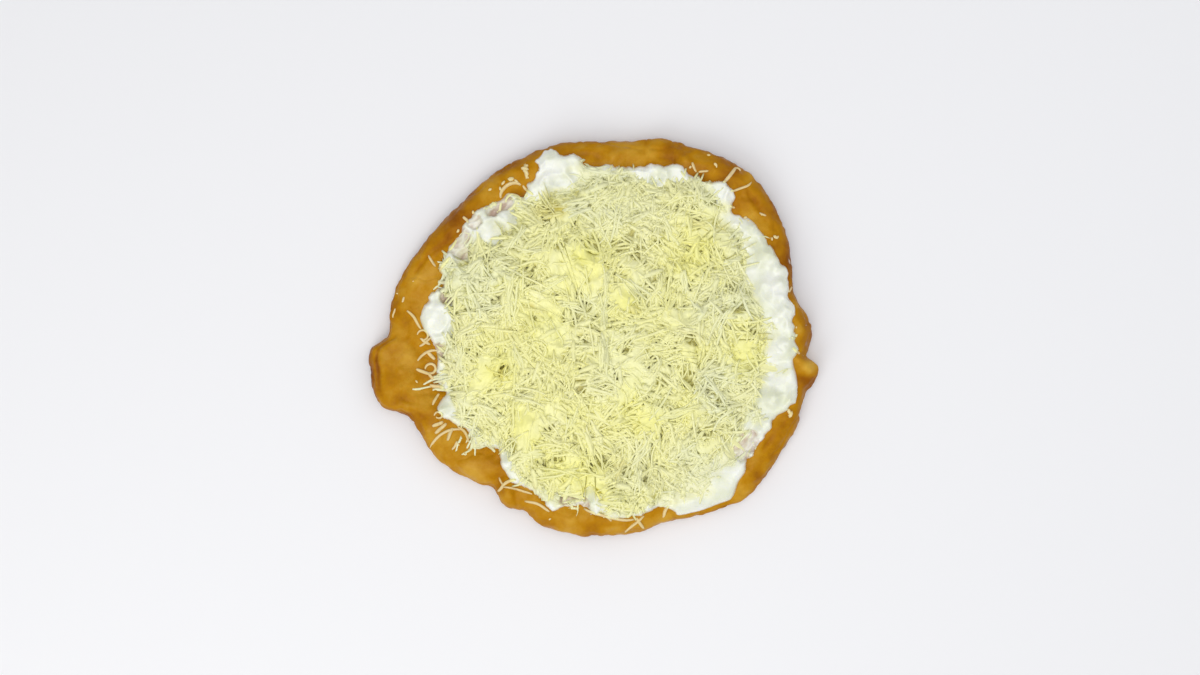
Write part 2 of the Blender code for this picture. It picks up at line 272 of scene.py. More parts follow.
class Recipe:
    # one material; its nodes come from node(type, settings, values or links by socket, output)
    def __init__(self, name):
        self.material = bpy.data.materials.new(name)
        self.material.use_nodes = True
        self.nodes = self.material.node_tree.nodes
        self.links = self.material.node_tree.links
        self.surface = self.nodes["Principled BSDF"]

    def node(self, kind, settings, values, output=None):
        # stops are the places and colours of a ramp; without a name the first output is taken
        made = self.nodes.new(kind)
        settings = dict(settings)
        stops = settings.pop("stops", ())
        for key, value in settings.items():
            setattr(made, key, value)
        for number, (place, colour) in enumerate(stops):
            ramp = made.color_ramp.elements
            stop = ramp[number] if number < len(ramp) else ramp.new(place)
            stop.position, stop.color = place, (*colour, 1)
        self.fill(made, values)
        shown = [socket for socket in made.outputs if socket.enabled]
        found = [socket for socket in shown if output is None or socket.name == output]
        return Wire(self, found[0])

    def fill(self, made, values):
        # links wires to sockets, found by name or number, and sets the other values
        for key, value in values.items():
            if isinstance(key, int):
                socket = made.inputs[key]
            else:
                socket = next(s for s in made.inputs if s.name == key and s.enabled)
            if isinstance(value, Wire):
                self.links.new(value.socket, socket)
            else:
                socket.default_value = (*value, 1) if socket.type == "RGBA" else value

    def place(self):
        return self.node("ShaderNodeTexCoord", {}, {}, "Object")

    def attribute(self, name):
        return self.node("ShaderNodeAttribute", {"attribute_name": name}, {}, "Fac")

    def noise(self, size, detail, roughness=0.5):
        # cloudy noise, 0 to 1, whose blotches are about this size
        values = {"Vector": self.place(), "Scale": 1 / size, "Detail": detail, "Roughness": roughness}
        return self.node("ShaderNodeTexNoise", {}, values, "Fac")

    def between(self, low, high, wire):
        # 0 at low, 1 at high, and smooth between
        values = {"Value": wire, "From Min": low, "From Max": high}
        return self.node("ShaderNodeMapRange", {"interpolation_type": "SMOOTHSTEP"}, values, "Result")

    def mixed(self, factor, first, second):
        # first at factor 0, second at 1
        settings = {"data_type": "RGBA", "blend_type": "MIX"}
        return self.node("ShaderNodeMix", settings, {"Factor": factor, "A": first, "B": second})

    def relief(self, coarse, fine):
        # height for a bump: a noise of 3 octaves and one of 2, each a size and a share
        return self.noise(coarse[0], 3) * coarse[1] + self.noise(fine[0], 2) * fine[1]

    def bump(self, height, distance):
        return self.node("ShaderNodeBump", {}, {"Height": height, "Distance": distance, "Strength": 1.0})


def fromScreen(red, green, blue):
    # screen colour, 0 to 255, as linear light: the standard curve, whose foot up to 10 is a straight line
    return tuple(
        ((c / 255 + 0.055) / 1.055) ** 2.4 if c > 10 else c / 255 / 12.92
        for c in (red, green, blue)
    )


# The solids' outlines and heights

def spotsOf(mesh):
    # the places of a mesh's vertices, one row each
    spots = np.zeros(len(mesh.vertices) * 3)
    mesh.vertices.foreach_get("co", spots)
    return spots.reshape(-1, 3)


def outlineOf(node, sectors=144, smoothing=26):
    # reach of a solid in each direction: its farthest vertex in each sector, joined and smoothed all round
    spots = spotsOf(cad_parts[node].data)
    angle = np.arctan2(spots[:, 1], spots[:, 0]) % fullTurn
    reach = np.hypot(spots[:, 0], spots[:, 1])
    sector = np.round(angle / fullTurn * sectors).astype(int) % sectors
    order = np.lexsort((reach, sector))
    last = np.flatnonzero(np.diff(np.append(sector[order], sectors)))
    far = order[last]
    far = far[np.argsort(angle[far])]
    radius = np.interp(directions(outlineSteps), angle[far], reach[far], period=fullTurn)
    for _ in range(smoothing):
        radius = np.roll(radius, 1) / 4 + radius / 2 + np.roll(radius, -1) / 4
    return radius


def atAngle(outline, theta):
    # reads an outline of equal steps at any direction, by straight lines between its steps
    return np.interp(np.asarray(theta) % fullTurn, directions(len(outline)), outline, period=fullTurn)


def degreesFrom(theta, direction):
    # from a direction in degrees to one in radians, -180 to 180
    return (np.degrees(theta) - direction + 180) % 360 - 180


# Fried bread

bread = {
    "directions": 1040,
    "floorRings": 6, "slopeRings": 46, "roundRings": 24, "underRings": 12, "baseRings": 3,
    "innermost": 0.04,  # the first ring's share of the way out to the slope
    "underShares": (0.97, 0.1),  # the outer and the inner ring of the underside
    "ringEvenness": 0.45,  # 1 spaces the rings on the slope evenly, less draws them together at the edge
    "edgeHeight": 0.0072,  # where the side of the rim stands furthest out
    "rimCrest": 0.0162,
    "rimWaves": ((3, 1.1, 0.0014), (5, 2.6, 0.0009), (8, 0.4, 0.0007)),  # waves round the rim, phase, height
    "edgeRound": 0.0090, "underRound": 0.0120, "rimSlope": 0.0300, "rimWidth": 0.0450,
    "floor": 0.0108, "floorSwell": 0.0005, "floorSwellLength": 0.0150,
    # direction in degrees, inset, radius, height
    "bubbles": (
        (6, 0.0060, 0.0080, 0.0010), (28, 0.0070, 0.0090, 0.0012), (58, 0.0085, 0.0120, 0.0014),
        (83, 0.0070, 0.0100, 0.0011), (162, 0.0120, 0.0120, 0.0017), (187, 0.0040, 0.0050, 0.0018),
        (193, 0.0160, 0.0110, 0.0016), (206, 0.0110, 0.0090, 0.0014), (226, 0.0080, 0.0100, 0.0013),
        (240.5, 0.0065, 0.0070, 0.0020), (262, 0.0060, 0.0090, 0.0012), (318, 0.0080, 0.0110, 0.0013),
        (333, 0.0075, 0.0080, 0.0014), (351.5, 0.0065, 0.0065, 0.0020),
    ),
    # direction in degrees, inset, length in degrees, width, depth
    "creases": (
        (157, 0.0065, 5, 0.0014, 0.0012), (148, 0.0090, 5, 0.0020, 0.0010),
        (187.5, 0.0044, 6.5, 0.0011, 0.0026), (197, 0.0120, 4, 0.0022, 0.0004),
        (204, 0.0060, 3, 0.0014, 0.0008), (236, 0.0060, 3, 0.0040, 0.0009),
        (241, 0.0040, 2, 0.0014, 0.0010), (349.2, 0.0060, 1.3, 0.0040, 0.0016),
        (346, 0.0080, 2, 0.0020, 0.0012), (329, 0.0090, 3, 0.0012, 0.0008),
        (276, 0.0060, 5, 0.0014, 0.0007), (96, 0.0070, 6, 0.0016, 0.0007), (40, 0.0080, 6, 0.0016, 0.0008),
        (68, 0.0100, 4, 0.0014, 0.0007),
    ),
    "wobble": 0.00045, "wobbleSize": 0.0032,
    # direction in degrees, spread in degrees, how much further out: the corners of the tip and the knob
    "corners": ((182.7, 1.5, 0.0028), (196, 4.5, 0.0024), (354.8, 1.4, -0.0026), (347.5, 1.3, 0.0018)),
    "lumps": 0.00075, "lumpSize": 0.0130,
    "dimples": 0.00028, "dimpleSize": 0.0046,
    "grain": 0.00008, "grainSize": 0.0016,
    "blisters": 0.00045, "blisterSize": 0.0075, "blisterShare": 0.30,
    "beads": 0.00022, "beadSize": 0.0032, "beadShare": 0.30,
    "pits": 0.00030, "pitSize": 0.0050, "pitShare": 0.16,
    "folds": 0.00045, "foldSize": 0.0170, "foldWidth": 0.05,
    "resting": 0.0015,  # up to this height the relief fades out, so that the underside stays flat
    "level": (0.75, 0.15),  # upward share of the normal, and span, over which the relief turns straight up
    # the crust's base browning, and the crease depth that gives one whole step of painted shade
    "browningAndShade": 0.40, "creaseShade": 0.0062,
    "low": (0.002, 0.011), "lowDarkening": 0.30,  # height, and span, over which the side goes from darker at its foot to golden
    "lumpPale": 0.20, "blisterPale": 0.12,
    "patches": 0.17, "patchSize": 0.014,
    "streaks": 0.15, "streakSize": 0.010, "streakSlant": 0.6, "streakStretch": 1.5, "streakRise": 0.5,
    # direction in degrees, spread in degrees, depth in from the edge, how much darker; along the tip's fold
    # this is painted shade
    "dark": (
        (187.5, 7, 0.0048, 0.45), (347.5, 3, 0.0090, 0.26), (20, 26, 0.0080, 0.06), (120, 30, 0.0050, 0.14),
        (236, 5, 0.0080, 0.10), (204, 9, 0.0050, 0.25), (272, 34, 0.0300, 0.04), (52, 20, 0.0300, 0.15),
        (141, 16, 0.0300, 0.18), (14, 14, 0.0100, 0.12),
    ),
    # x, y, radius, how much paler
    "paleSpots": (
        (-0.093, -0.014, 0.008, 0.16), (-0.086, -0.030, 0.010, 0.16), (-0.095, 0.022, 0.009, 0.16),
        (-0.088, 0.029, 0.007, 0.18), (-0.060, -0.068, 0.014, 0.18), (0.107, -0.0145, 0.005, 0.34),
        (-0.044, -0.080, 0.004, 0.20), (0.078, 0.060, 0.006, 0.10), (0.020, 0.095, 0.010, 0.12),
        (0.084, -0.062, 0.009, 0.10), (0.010, -0.095, 0.010, 0.10), (0.102, 0.004, 0.006, 0.12),
    ),
    "seed": 4,
    # value of browning and painted crease shade at which the crust has each colour
    "colours": (
        (0.05, fromScreen(216, 168, 58)), (0.42, fromScreen(188, 130, 2)),
        (0.72, fromScreen(154, 92, 0)), (0.98, fromScreen(112, 56, 2)),
    ),
    "mottle": 0.32, "mottleSize": 0.0040, "speck": 0.08, "speckSize": 0.0011,
    "oilSize": 0.018, "oil": (0.42, 0.66),  # between these values of its noise the crust turns oily
    "crumb": (0.0024, 0.7), "pores": (0.0007, 0.3), "bump": 0.00035,  # size and share of the height
}
bread["outline"] = outlineOf("dough")
for direction, spread, further in bread["corners"]:
    away = (np.arange(outlineSteps) * 360 / outlineSteps - direction + 180) % 360 - 180
    bread["outline"] += further * bell(away / spread)


def creasing(theta, inset):
    # depth of the creases: each one's depth times a bell curve, long round the rim and narrow across it
    total = 0
    for direction, middle, length, width, depth in bread["creases"]:
        away = np.hypot(degreesFrom(theta, direction) / length, (inset - middle) / width)  # 1 at its border
        total = total + depth * bell(away)
    return total


def breadTop(x, y):
    # from the edge inwards: a quarter circle up to the crest, then a smooth step down to a gently swelling
    # floor, plus bubbles that fade with a smooth step, less creases
    b = bread
    theta = np.arctan2(y, x)
    edge = atAngle(b["outline"], theta)
    inset = edge - np.hypot(x, y)
    crest = b["rimCrest"] + sum(h * np.sin(n * theta + phase) for n, phase, h in b["rimWaves"])
    floor = b["floor"] + b["floorSwell"] * swelling(x, y, b["floorSwellLength"])
    side = b["edgeHeight"] + (crest - b["edgeHeight"]) * quarterRound(inset / b["edgeRound"])
    relief = 0
    for direction, middle, radius, height in b["bubbles"]:
        across = np.radians(degreesFrom(theta, direction)) * edge
        relief = relief + height * (1 - smoothStep(np.hypot(across, inset - middle) / radius))
    relief = relief - creasing(theta, inset)
    inward = fade(inset, b["edgeRound"], b["rimSlope"])
    return side + (floor - crest) * inward + relief * smoothStep(inset / b["edgeRound"])


def breadRings():
    # top: rings over the floor, the slope and the round edge, at breadTop's height; under them a quarter
    # circle down to the underside, and rings in to its middle
    b = bread
    theta = directions(b["directions"])
    edge = atAngle(b["outline"], theta)
    quarter = np.linspace(math.pi / 2, 0, b["roundRings"])
    share = np.linspace(1, 0, b["slopeRings"], endpoint=False)
    even = b["ringEvenness"]
    slope = b["edgeRound"] + (b["rimWidth"] - b["edgeRound"]) * (even * share + (1 - even) * share**2)
    insets = np.concatenate([slope, b["edgeRound"] * (1 - np.cos(quarter))])
    shares = np.linspace(b["innermost"], 1, b["floorRings"], endpoint=False)
    floorRadius = shares[:, None] * (edge - b["rimWidth"])
    topRadius = np.concatenate([floorRadius, edge - insets[:, None]])
    x, y = fromMiddle(topRadius, theta)
    # the height is read a hair further in, because a ring right on the outline can read as outside it
    within = 1 - 1e-6
    top = np.stack([x, y, breadTop(x * within, y * within)], -1)
    turned = np.linspace(0, math.pi / 2, b["underRings"] + 1)[1:]
    underRadius = edge - (b["underRound"] * (1 - np.cos(turned)))[:, None]
    underHeight = (b["edgeHeight"] * (1 - np.sin(turned)))[:, None] + 0 * underRadius
    under = np.stack([*fromMiddle(underRadius, theta), underHeight], -1)
    inner = np.linspace(*b["underShares"], b["baseRings"])[:, None] * (edge - b["underRound"])
    base = np.stack([*fromMiddle(inner, theta), 0 * inner], -1)
    return np.concatenate([top, under, base])


def breadRelief(x, y, z):
    # how far the crust stands off its smooth form: noises of four sizes, each times its height, plus
    # blisters of two sizes, less pits and the narrow folds along the lines where a slow noise is 0
    b = bread
    lumps = fractalNoise(x, y, z, b["lumpSize"], 2, b["seed"])
    blisters = blisterField(x, y, z, b["blisterSize"], b["blisterShare"], b["seed"] + 40)
    lift = b["lumps"] * lumps + b["blisters"] * blisters
    lift = lift + b["dimples"] * fractalNoise(x, y, z, b["dimpleSize"], 2, b["seed"] + 10)
    lift = lift + b["grain"] * smoothNoise(x, y, z, b["grainSize"], b["seed"] + 20)
    lift = lift + b["wobble"] * smoothNoise(x, y, z, b["wobbleSize"], b["seed"] + 30)
    lift = lift + b["beads"] * blisterField(x, y, z, b["beadSize"], b["beadShare"], b["seed"] + 70)
    lift = lift - b["pits"] * blisterField(x, y, z, b["pitSize"], b["pitShare"], b["seed"] + 80)
    fold = np.abs(fractalNoise(x, y, z, b["foldSize"], 2, b["seed"] + 90))
    lift = lift - b["folds"] * bell(fold / b["foldWidth"])
    return lift, lumps, blisters


def breadSurface(x, y):
    # the smooth form plus the relief, straight up
    z = breadTop(x, y)
    return z + breadRelief(x, y, z)[0]


def makeBread(material):
    # the rings, moved by the relief along their normals, or straight up where they are nearly level
    b = bread
    rings = breadRings()
    x, y, z = (rings[..., k] for k in range(3))
    lift, lumps, blisters = breadRelief(x, y, z)
    resting = smoothStep(z / b["resting"])
    normal = outwardNormals(rings)
    flat = fade(normal[..., 2], *b["level"])
    normal = normal * (1 - flat)[..., None] + np.array([0, 0, 1]) * flat[..., None]
    rings = rings + normal * (lift * resting)[..., None]
    rings[..., 2] = np.maximum(rings[..., 2], 0)
    mesh = closedSkin("fried_bread", rings)
    # the crust's colour value: browning, plus painted shade in the creases and along the tip's fold; also
    # darker low on the side and in some bands in from the edge, paler on blisters and ridges
    theta = np.arctan2(y, x)
    low = 1 - fade(z, *b["low"])
    inset = atAngle(b["outline"], theta) - np.hypot(x, y)
    browningAndShade = b["browningAndShade"] + b["lowDarkening"] * low - b["lumpPale"] * lumps - b["blisterPale"] * blisters
    # darker bands in from the edge; the band along the tip's fold, at 187.5 degrees, is painted shade
    for direction, spread, depth, more in b["dark"]:
        beside = bell(degreesFrom(theta, direction) / spread)
        browningAndShade = browningAndShade + more * beside * (1 - smoothStep(inset / depth))
    # painted shade in the creases: darker by each crease's depth over creaseShade
    browningAndShade = browningAndShade + creasing(theta, inset) / b["creaseShade"]
    for middleX, middleY, radius, less in b["paleSpots"]:
        browningAndShade = browningAndShade - less * nearSpots(x, y, ((middleX, middleY, radius),))
    patches = fractalNoise(x, y, z, b["patchSize"], 3, b["seed"] + 50)
    along, across = x + b["streakSlant"] * y, (y - b["streakSlant"] * x) * b["streakStretch"]
    streaks = fractalNoise(along, across, z * b["streakRise"], b["streakSize"], 3, b["seed"] + 60)
    browningAndShade = browningAndShade + b["patches"] * patches + b["streaks"] * streaks
    paint(mesh, "browningAndShade", np.clip(browningAndShade, 0, 1).reshape(-1))
    addPiece(mesh, material, "dough")


def breadFinish():
    # a ramp of the browning and painted crease shade, plus two noises; oily patches are smoother and shinier
    b = bread
    r = Recipe("fried bread")
    mottle = r.noise(b["mottleSize"], 4, 0.6)
    speck = r.noise(b["speckSize"], 2)
    browningAndShade = r.attribute("browningAndShade") + (mottle - 0.5) * b["mottle"] + (speck - 0.5) * b["speck"]
    colour = r.node("ShaderNodeValToRGB", {"stops": b["colours"]}, {"Fac": browningAndShade}, "Color")
    oil = r.between(*b["oil"], r.noise(b["oilSize"], 2))
    r.fill(r.surface, {
        "Base Color": colour,
        "Roughness": 0.52 - 0.14 * oil,
        "Specular IOR Level": 0.10,
        "Coat Weight": 0.10 * oil,
        "Coat Roughness": 0.30,
        "Subsurface Weight": 0.05,
        "Subsurface Radius": (0.0025, 0.0010, 0.0002),
        "Subsurface Scale": 1.0,
        "Normal": r.bump(r.relief(b["crumb"], b["pores"]), b["bump"]),
    })
    return r.material


# Sour cream

cream = {
    "directions": 940, "innerRings": 12, "edgeRings": 66, "underRings": 3,
    "band": 0.036,  # width of the closely ringed part
    "innermost": 0.04,  # the first ring's share of the way out to the band
    "crowding": 1.25,  # above 1 the rings of the band draw together towards the edge
    "margin": 0.0052,  # how far the skin runs on under the crust, past the cream's edge
    "clearance": 0.0012,  # least distance from there to the bread's outline
    "underInset": 0.0004, "underShares": (0.97, 0.1), "underDepth": 0.0020,
    "thickness": 0.0030, "swell": 0.0007, "swellLength": 0.0110,
    "edgeRound": 0.0036, "edgeNoise": 0.0040, "edgeNoiseSize": 0.0070, "edgeDraw": 0.15,
    "ripple": 0.00175, "rippleSize": 0.0078, "sunk": 0.0006,
    "beads": 0.00010, "beadSize": 0.0034, "beadShare": 0.5,
    "wrinkles": 0.00080, "wrinkleSize": 0.0034, "wrinkleWay": 50,
    "wrinkleStretch": 2.4, "wrinkleSteepness": 2.4,
    # x, y, radius, height
    "dollops": (
        (-0.0145, 0.0863, 0.0100, 0.0010), (-0.0250, 0.0768, 0.0060, 0.0010),
        (-0.0520, 0.0558, 0.0085, 0.0024), (-0.0440, 0.0578, 0.0065, 0.0018),
        (-0.0700, 0.0418, 0.0055, 0.0012), (-0.0785, 0.0113, 0.0085, 0.0026),
        (-0.0445, -0.0623, 0.0050, 0.0016), (0.0355, 0.0818, 0.0095, 0.0014),
        (0.0850, 0.0390, 0.0065, 0.0022), (0.0915, 0.0263, 0.0045, 0.0020),
        (0.0935, 0.0123, 0.0042, 0.0018), (0.0775, 0.0550, 0.0045, 0.0018),
        (0.0240, 0.0790, 0.0045, 0.0016), (0.0905, -0.0063, 0.0085, 0.0014),
        (0.0970, -0.0173, 0.0085, 0.0018), (0.0870, -0.0303, 0.0070, 0.0014),
        (0.0605, -0.0738, 0.0140, 0.0020), (0.0715, -0.0653, 0.0085, 0.0012),
        (0.0480, -0.0828, 0.0080, 0.0016), (0.0270, -0.0843, 0.0070, 0.0012),
        (0.0050, -0.0868, 0.0070, 0.0012),
    ),
    "smearRagged": 0.45, "smearEdge": (0.22, 0.35), "smearThinning": 0.74,
    "smearClear": 0.78, "wrinkleCover": 0.6,  # how thin a smear looks, and how much less so on its wrinkles
    # x, y, radius: where the cream is only a thin smear
    "smears": (
        (-0.0690, 0.0495, 0.0100), (-0.0660, 0.0430, 0.0060), (-0.0600, 0.0580, 0.0055),
        (-0.0500, 0.0645, 0.0060), (-0.0440, 0.0670, 0.0050), (0.0710, -0.0550, 0.0085),
        (0.0780, -0.0520, 0.0070), (-0.0130, -0.0775, 0.0075), (-0.0060, -0.0825, 0.0045),
        (-0.0730, 0.0200, 0.0045), (-0.0770, -0.0070, 0.0055), (-0.0760, 0.0270, 0.0045),
        (0.0575, 0.0680, 0.0040), (0.0750, 0.0610, 0.0030),
    ),
    # x, y, radius: where the edge draws back, by this much in the middle
    "notches": ((-0.0315, 0.0800, 0.0050), (-0.0290, 0.0840, 0.0035)), "notchDepth": 0.0070,
    # x, y, radius: where the edge swells out, by this much in the middle
    "bulges": ((-0.0455, -0.0610, 0.0120), (-0.0390, -0.0690, 0.0070), (-0.0590, -0.0500, 0.0090)),
    "bulgeDepth": 0.0034,
    "smoothing": 1.6,
    # x, y, radius: where it lies smooth and wet
    "smooth": ((0.0600, -0.0760, 0.0240), (0.0960, -0.0193, 0.0120), (-0.0800, 0.0080, 0.0090)),
    "seed": 70,
    "white": fromScreen(246, 248, 236), "shade": fromScreen(232, 235, 208),
    "thin": fromScreen(198, 170, 148),
    # yellow beside the cheese: the softened cover, times this, plus a cloudy noise
    "butter": 1.25, "butterCloud": 0.5, "butterSize": 0.0060, "butterEdge": (0.12, 0.6),
    "buttery": fromScreen(244, 243, 196),
    "seeThrough": 0.0004, "seeThroughPower": 1.5,  # thickness below which the crust's colour comes through
    "cloudySize": 0.012, "cloudy": (0.35, 0.7), "wetSize": 0.007, "wet": (0.4, 0.65),
    "waves": (0.0030, 0.8), "ripples": (0.0009, 0.2), "bump": 0.0003,  # size and share of the height
}
cream["outline"] = outlineOf("sour_cream")


def smearing(x, y):
    # how far inside a smear a place is, with a ragged edge, and folds along it: 1 less the height of a noise
    c = cream
    near = nearSpots(x, y, c["smears"])
    ragged = levelNoise(x, y, c["wrinkleSize"], 3, c["seed"] + 15)
    thin = fade(near**0.5 + c["smearRagged"] * ragged, *c["smearEdge"])
    way = math.radians(c["wrinkleWay"])
    along, across = x * math.cos(way) + y * math.sin(way), y * math.cos(way) - x * math.sin(way)
    folds = levelNoise(along / c["wrinkleStretch"], across, c["wrinkleSize"], 3, c["seed"] + 12)
    return thin * (near > 0), 1 - c["wrinkleSteepness"] * np.abs(folds)


def creamTop(x, y):
    # where the ragged depth inside the edge is under 0, a little below the crust; from there a quarter
    # circle up to the bread's smooth form plus a swelling thickness, dollops, each (1 - (d / r)^2)^2 high,
    # folds and beads; a smear keeps a share of that thickness, plus its wrinkles
    c = cream
    inset = atAngle(c["outline"], np.arctan2(y, x)) - np.hypot(x, y)
    ragged = levelNoise(x, y, c["edgeNoiseSize"], 3, c["seed"])
    rough = 1 - smoothStep(c["smoothing"] * nearSpots(x, y, c["smooth"]) ** 0.5)
    depth = inset + c["edgeNoise"] * rough * (ragged - c["edgeDraw"])
    depth = depth - c["notchDepth"] * nearSpots(x, y, c["notches"])
    depth = depth + c["bulgeDepth"] * nearSpots(x, y, c["bulges"])
    thickness = c["thickness"] + c["swell"] * swelling(x, y, c["swellLength"])
    for middleX, middleY, radius, height in c["dollops"]:
        thickness = thickness + height * nearSpots(x, y, ((middleX, middleY, radius),))
    fold = 1 - 2 * np.abs(levelNoise(x, y, c["rippleSize"], 2, c["seed"] + 5))
    beads = blisterField(x, y, 0 * x, c["beadSize"], c["beadShare"], c["seed"] + 9)
    thickness = thickness + rough * (c["ripple"] * fold + c["beads"] * beads)
    thin, wrinkle = smearing(x, y)
    thickness = thickness * (1 - c["smearThinning"] * thin) + thin * c["wrinkles"] * wrinkle
    rise = quarterRound(depth / c["edgeRound"])
    crust = breadSurface(x, y)
    return (crust - c["sunk"]) * (1 - rise) + (breadTop(x, y) + thickness) * rise


def makeCream(material):
    # top: rings out to the band and closer ones over it, at creamTop's height; under them, rings in the
    # crust; thinness is e to the power of less (thickness / see-through)^power, or more where a smear is
    c = cream
    theta = directions(c["directions"])
    edge = atAngle(c["outline"], theta) + c["margin"]
    edge = np.minimum(edge, atAngle(bread["outline"], theta) - c["clearance"])
    share = np.linspace(1, 0, c["edgeRings"]) ** c["crowding"]
    inner = np.linspace(c["innermost"], 1, c["innerRings"], endpoint=False)[:, None] * (edge - c["band"])
    x, y = fromMiddle(np.concatenate([inner, edge - c["band"] * share[:, None]]), theta)
    z = creamTop(x, y)
    z[-1] = breadSurface(x[-1], y[-1]) - c["sunk"]
    top = np.stack([x, y, z], -1)
    inner = np.linspace(*c["underShares"], c["underRings"])[:, None] * edge
    below = np.concatenate([edge[None] - c["underInset"], inner])
    underX, underY = fromMiddle(below, theta)
    under = np.stack([underX, underY, breadSurface(underX, underY) - c["underDepth"]], -1)
    mesh = closedSkin("cream_layer", np.concatenate([top, under]))
    thickness = np.clip(z - breadSurface(x, y), 0, None)
    thinness = np.exp(-((thickness / c["seeThrough"]) ** c["seeThroughPower"]))
    thin, wrinkle = smearing(x, y)
    thinness = np.maximum(thinness, thin * np.clip(c["smearClear"] - c["wrinkleCover"] * wrinkle, 0, 1))
    paint(mesh, "thinness", np.concatenate([thinness, np.ones(below.shape)]).reshape(-1))
    cloud = c["butterCloud"] * levelNoise(x, y, c["butterSize"], 2, c["seed"] + 25)
    butter = fade(c["butter"] * groundAt("butter", x, y) + cloud, *c["butterEdge"])
    paint(mesh, "butter", np.concatenate([butter, np.zeros(below.shape)]).reshape(-1))
    addPiece(mesh, material, "sour_cream")


def creamFinish():
    # white to shaded by a noise, then buttery beside the cheese, then the colour of thin cream
    c = cream
    r = Recipe("sour cream")
    cloudy = r.between(*c["cloudy"], r.noise(c["cloudySize"], 3))
    wet = r.between(*c["wet"], r.noise(c["wetSize"], 2))
    colour = r.mixed(r.attribute("butter"), r.mixed(cloudy, c["white"], c["shade"]), c["buttery"])
    r.fill(r.surface, {
        "Base Color": r.mixed(r.attribute("thinness"), colour, c["thin"]),
        "Roughness": 0.30 - 0.10 * wet,
        "Subsurface Weight": 0.25,
        "Subsurface Radius": (0.0018, 0.0017, 0.0012),
        "Subsurface Scale": 1.0,
        "Coat Weight": 0.40 * wet,
        "Coat Roughness": 0.10,
        "Normal": r.bump(r.relief(c["waves"], c["ripples"]), c["bump"]),
    })
    return r.material


# Grated cheese

heap = {
    "cell": 0.0025,  # of the coarse map that is read off the solid heap
    "low": (-0.1225, -0.1125), "size": (0.2450, 0.2250),
    "softening": 3, "shareSoftening": 2,
    "looseDepth": 0.0036, "matteDepth": 0.0003,  # down to the core under loose and under matted cheese
    # ridges of the core, where it shows
    "combed": 0.00055, "combedSize": 0.0015, "combedStretch": 5.0, "combedWays": 4, "combedPower": 8,
    "coreDirections": 690, "coreRings": 122, "innermost": 0.02, "underShares": (0.99, 0.6, 0.2),
    "reach": (0.02, 0.11, 181), "leastCover": 0.25,  # where the core may end, and the cover that it takes
    "coreSunk": 0.0008, "underDepth": 0.0016,
    "seed": 120,
}
ground = {"cell": 0.0005, "low": heap["low"], "size": heap["size"]}
shredKinds = {
    "fine_shreds": {
        "count": 1680, "steps": 7, "width": (0.0006, 0.0010), "thickness": (0.00018, 0.00034),
        "length": (0.0050, 0.0150), "roll": 0.35, "curl": 0.45, "curlyShare": 0.05, "stray": 0.55,
    },
    "long_shreds": {
        "count": 1740, "steps": 7, "width": (0.0009, 0.0016), "thickness": (0.00018, 0.00034),
        "length": (0.0070, 0.0200), "roll": 0.22, "curl": 0.35, "curlyShare": 0.03, "stray": 0.45,
    },
    "broad_shreds": {
        "count": 1320, "steps": 7, "width": (0.0015, 0.0027), "thickness": (0.00018, 0.00034),
        "length": (0.0045, 0.0120), "roll": 0.16, "curl": 0.4, "curlyShare": 0.02, "stray": 0.5,
    },
    "short_shreds": {
        "count": 2220, "steps": 3, "width": (0.0010, 0.0019), "thickness": (0.00018, 0.00034),
        "length": (0.0020, 0.0060), "roll": 0.4, "curl": 0.5, "curlyShare": 0.0, "stray": 1.3,
    },
}
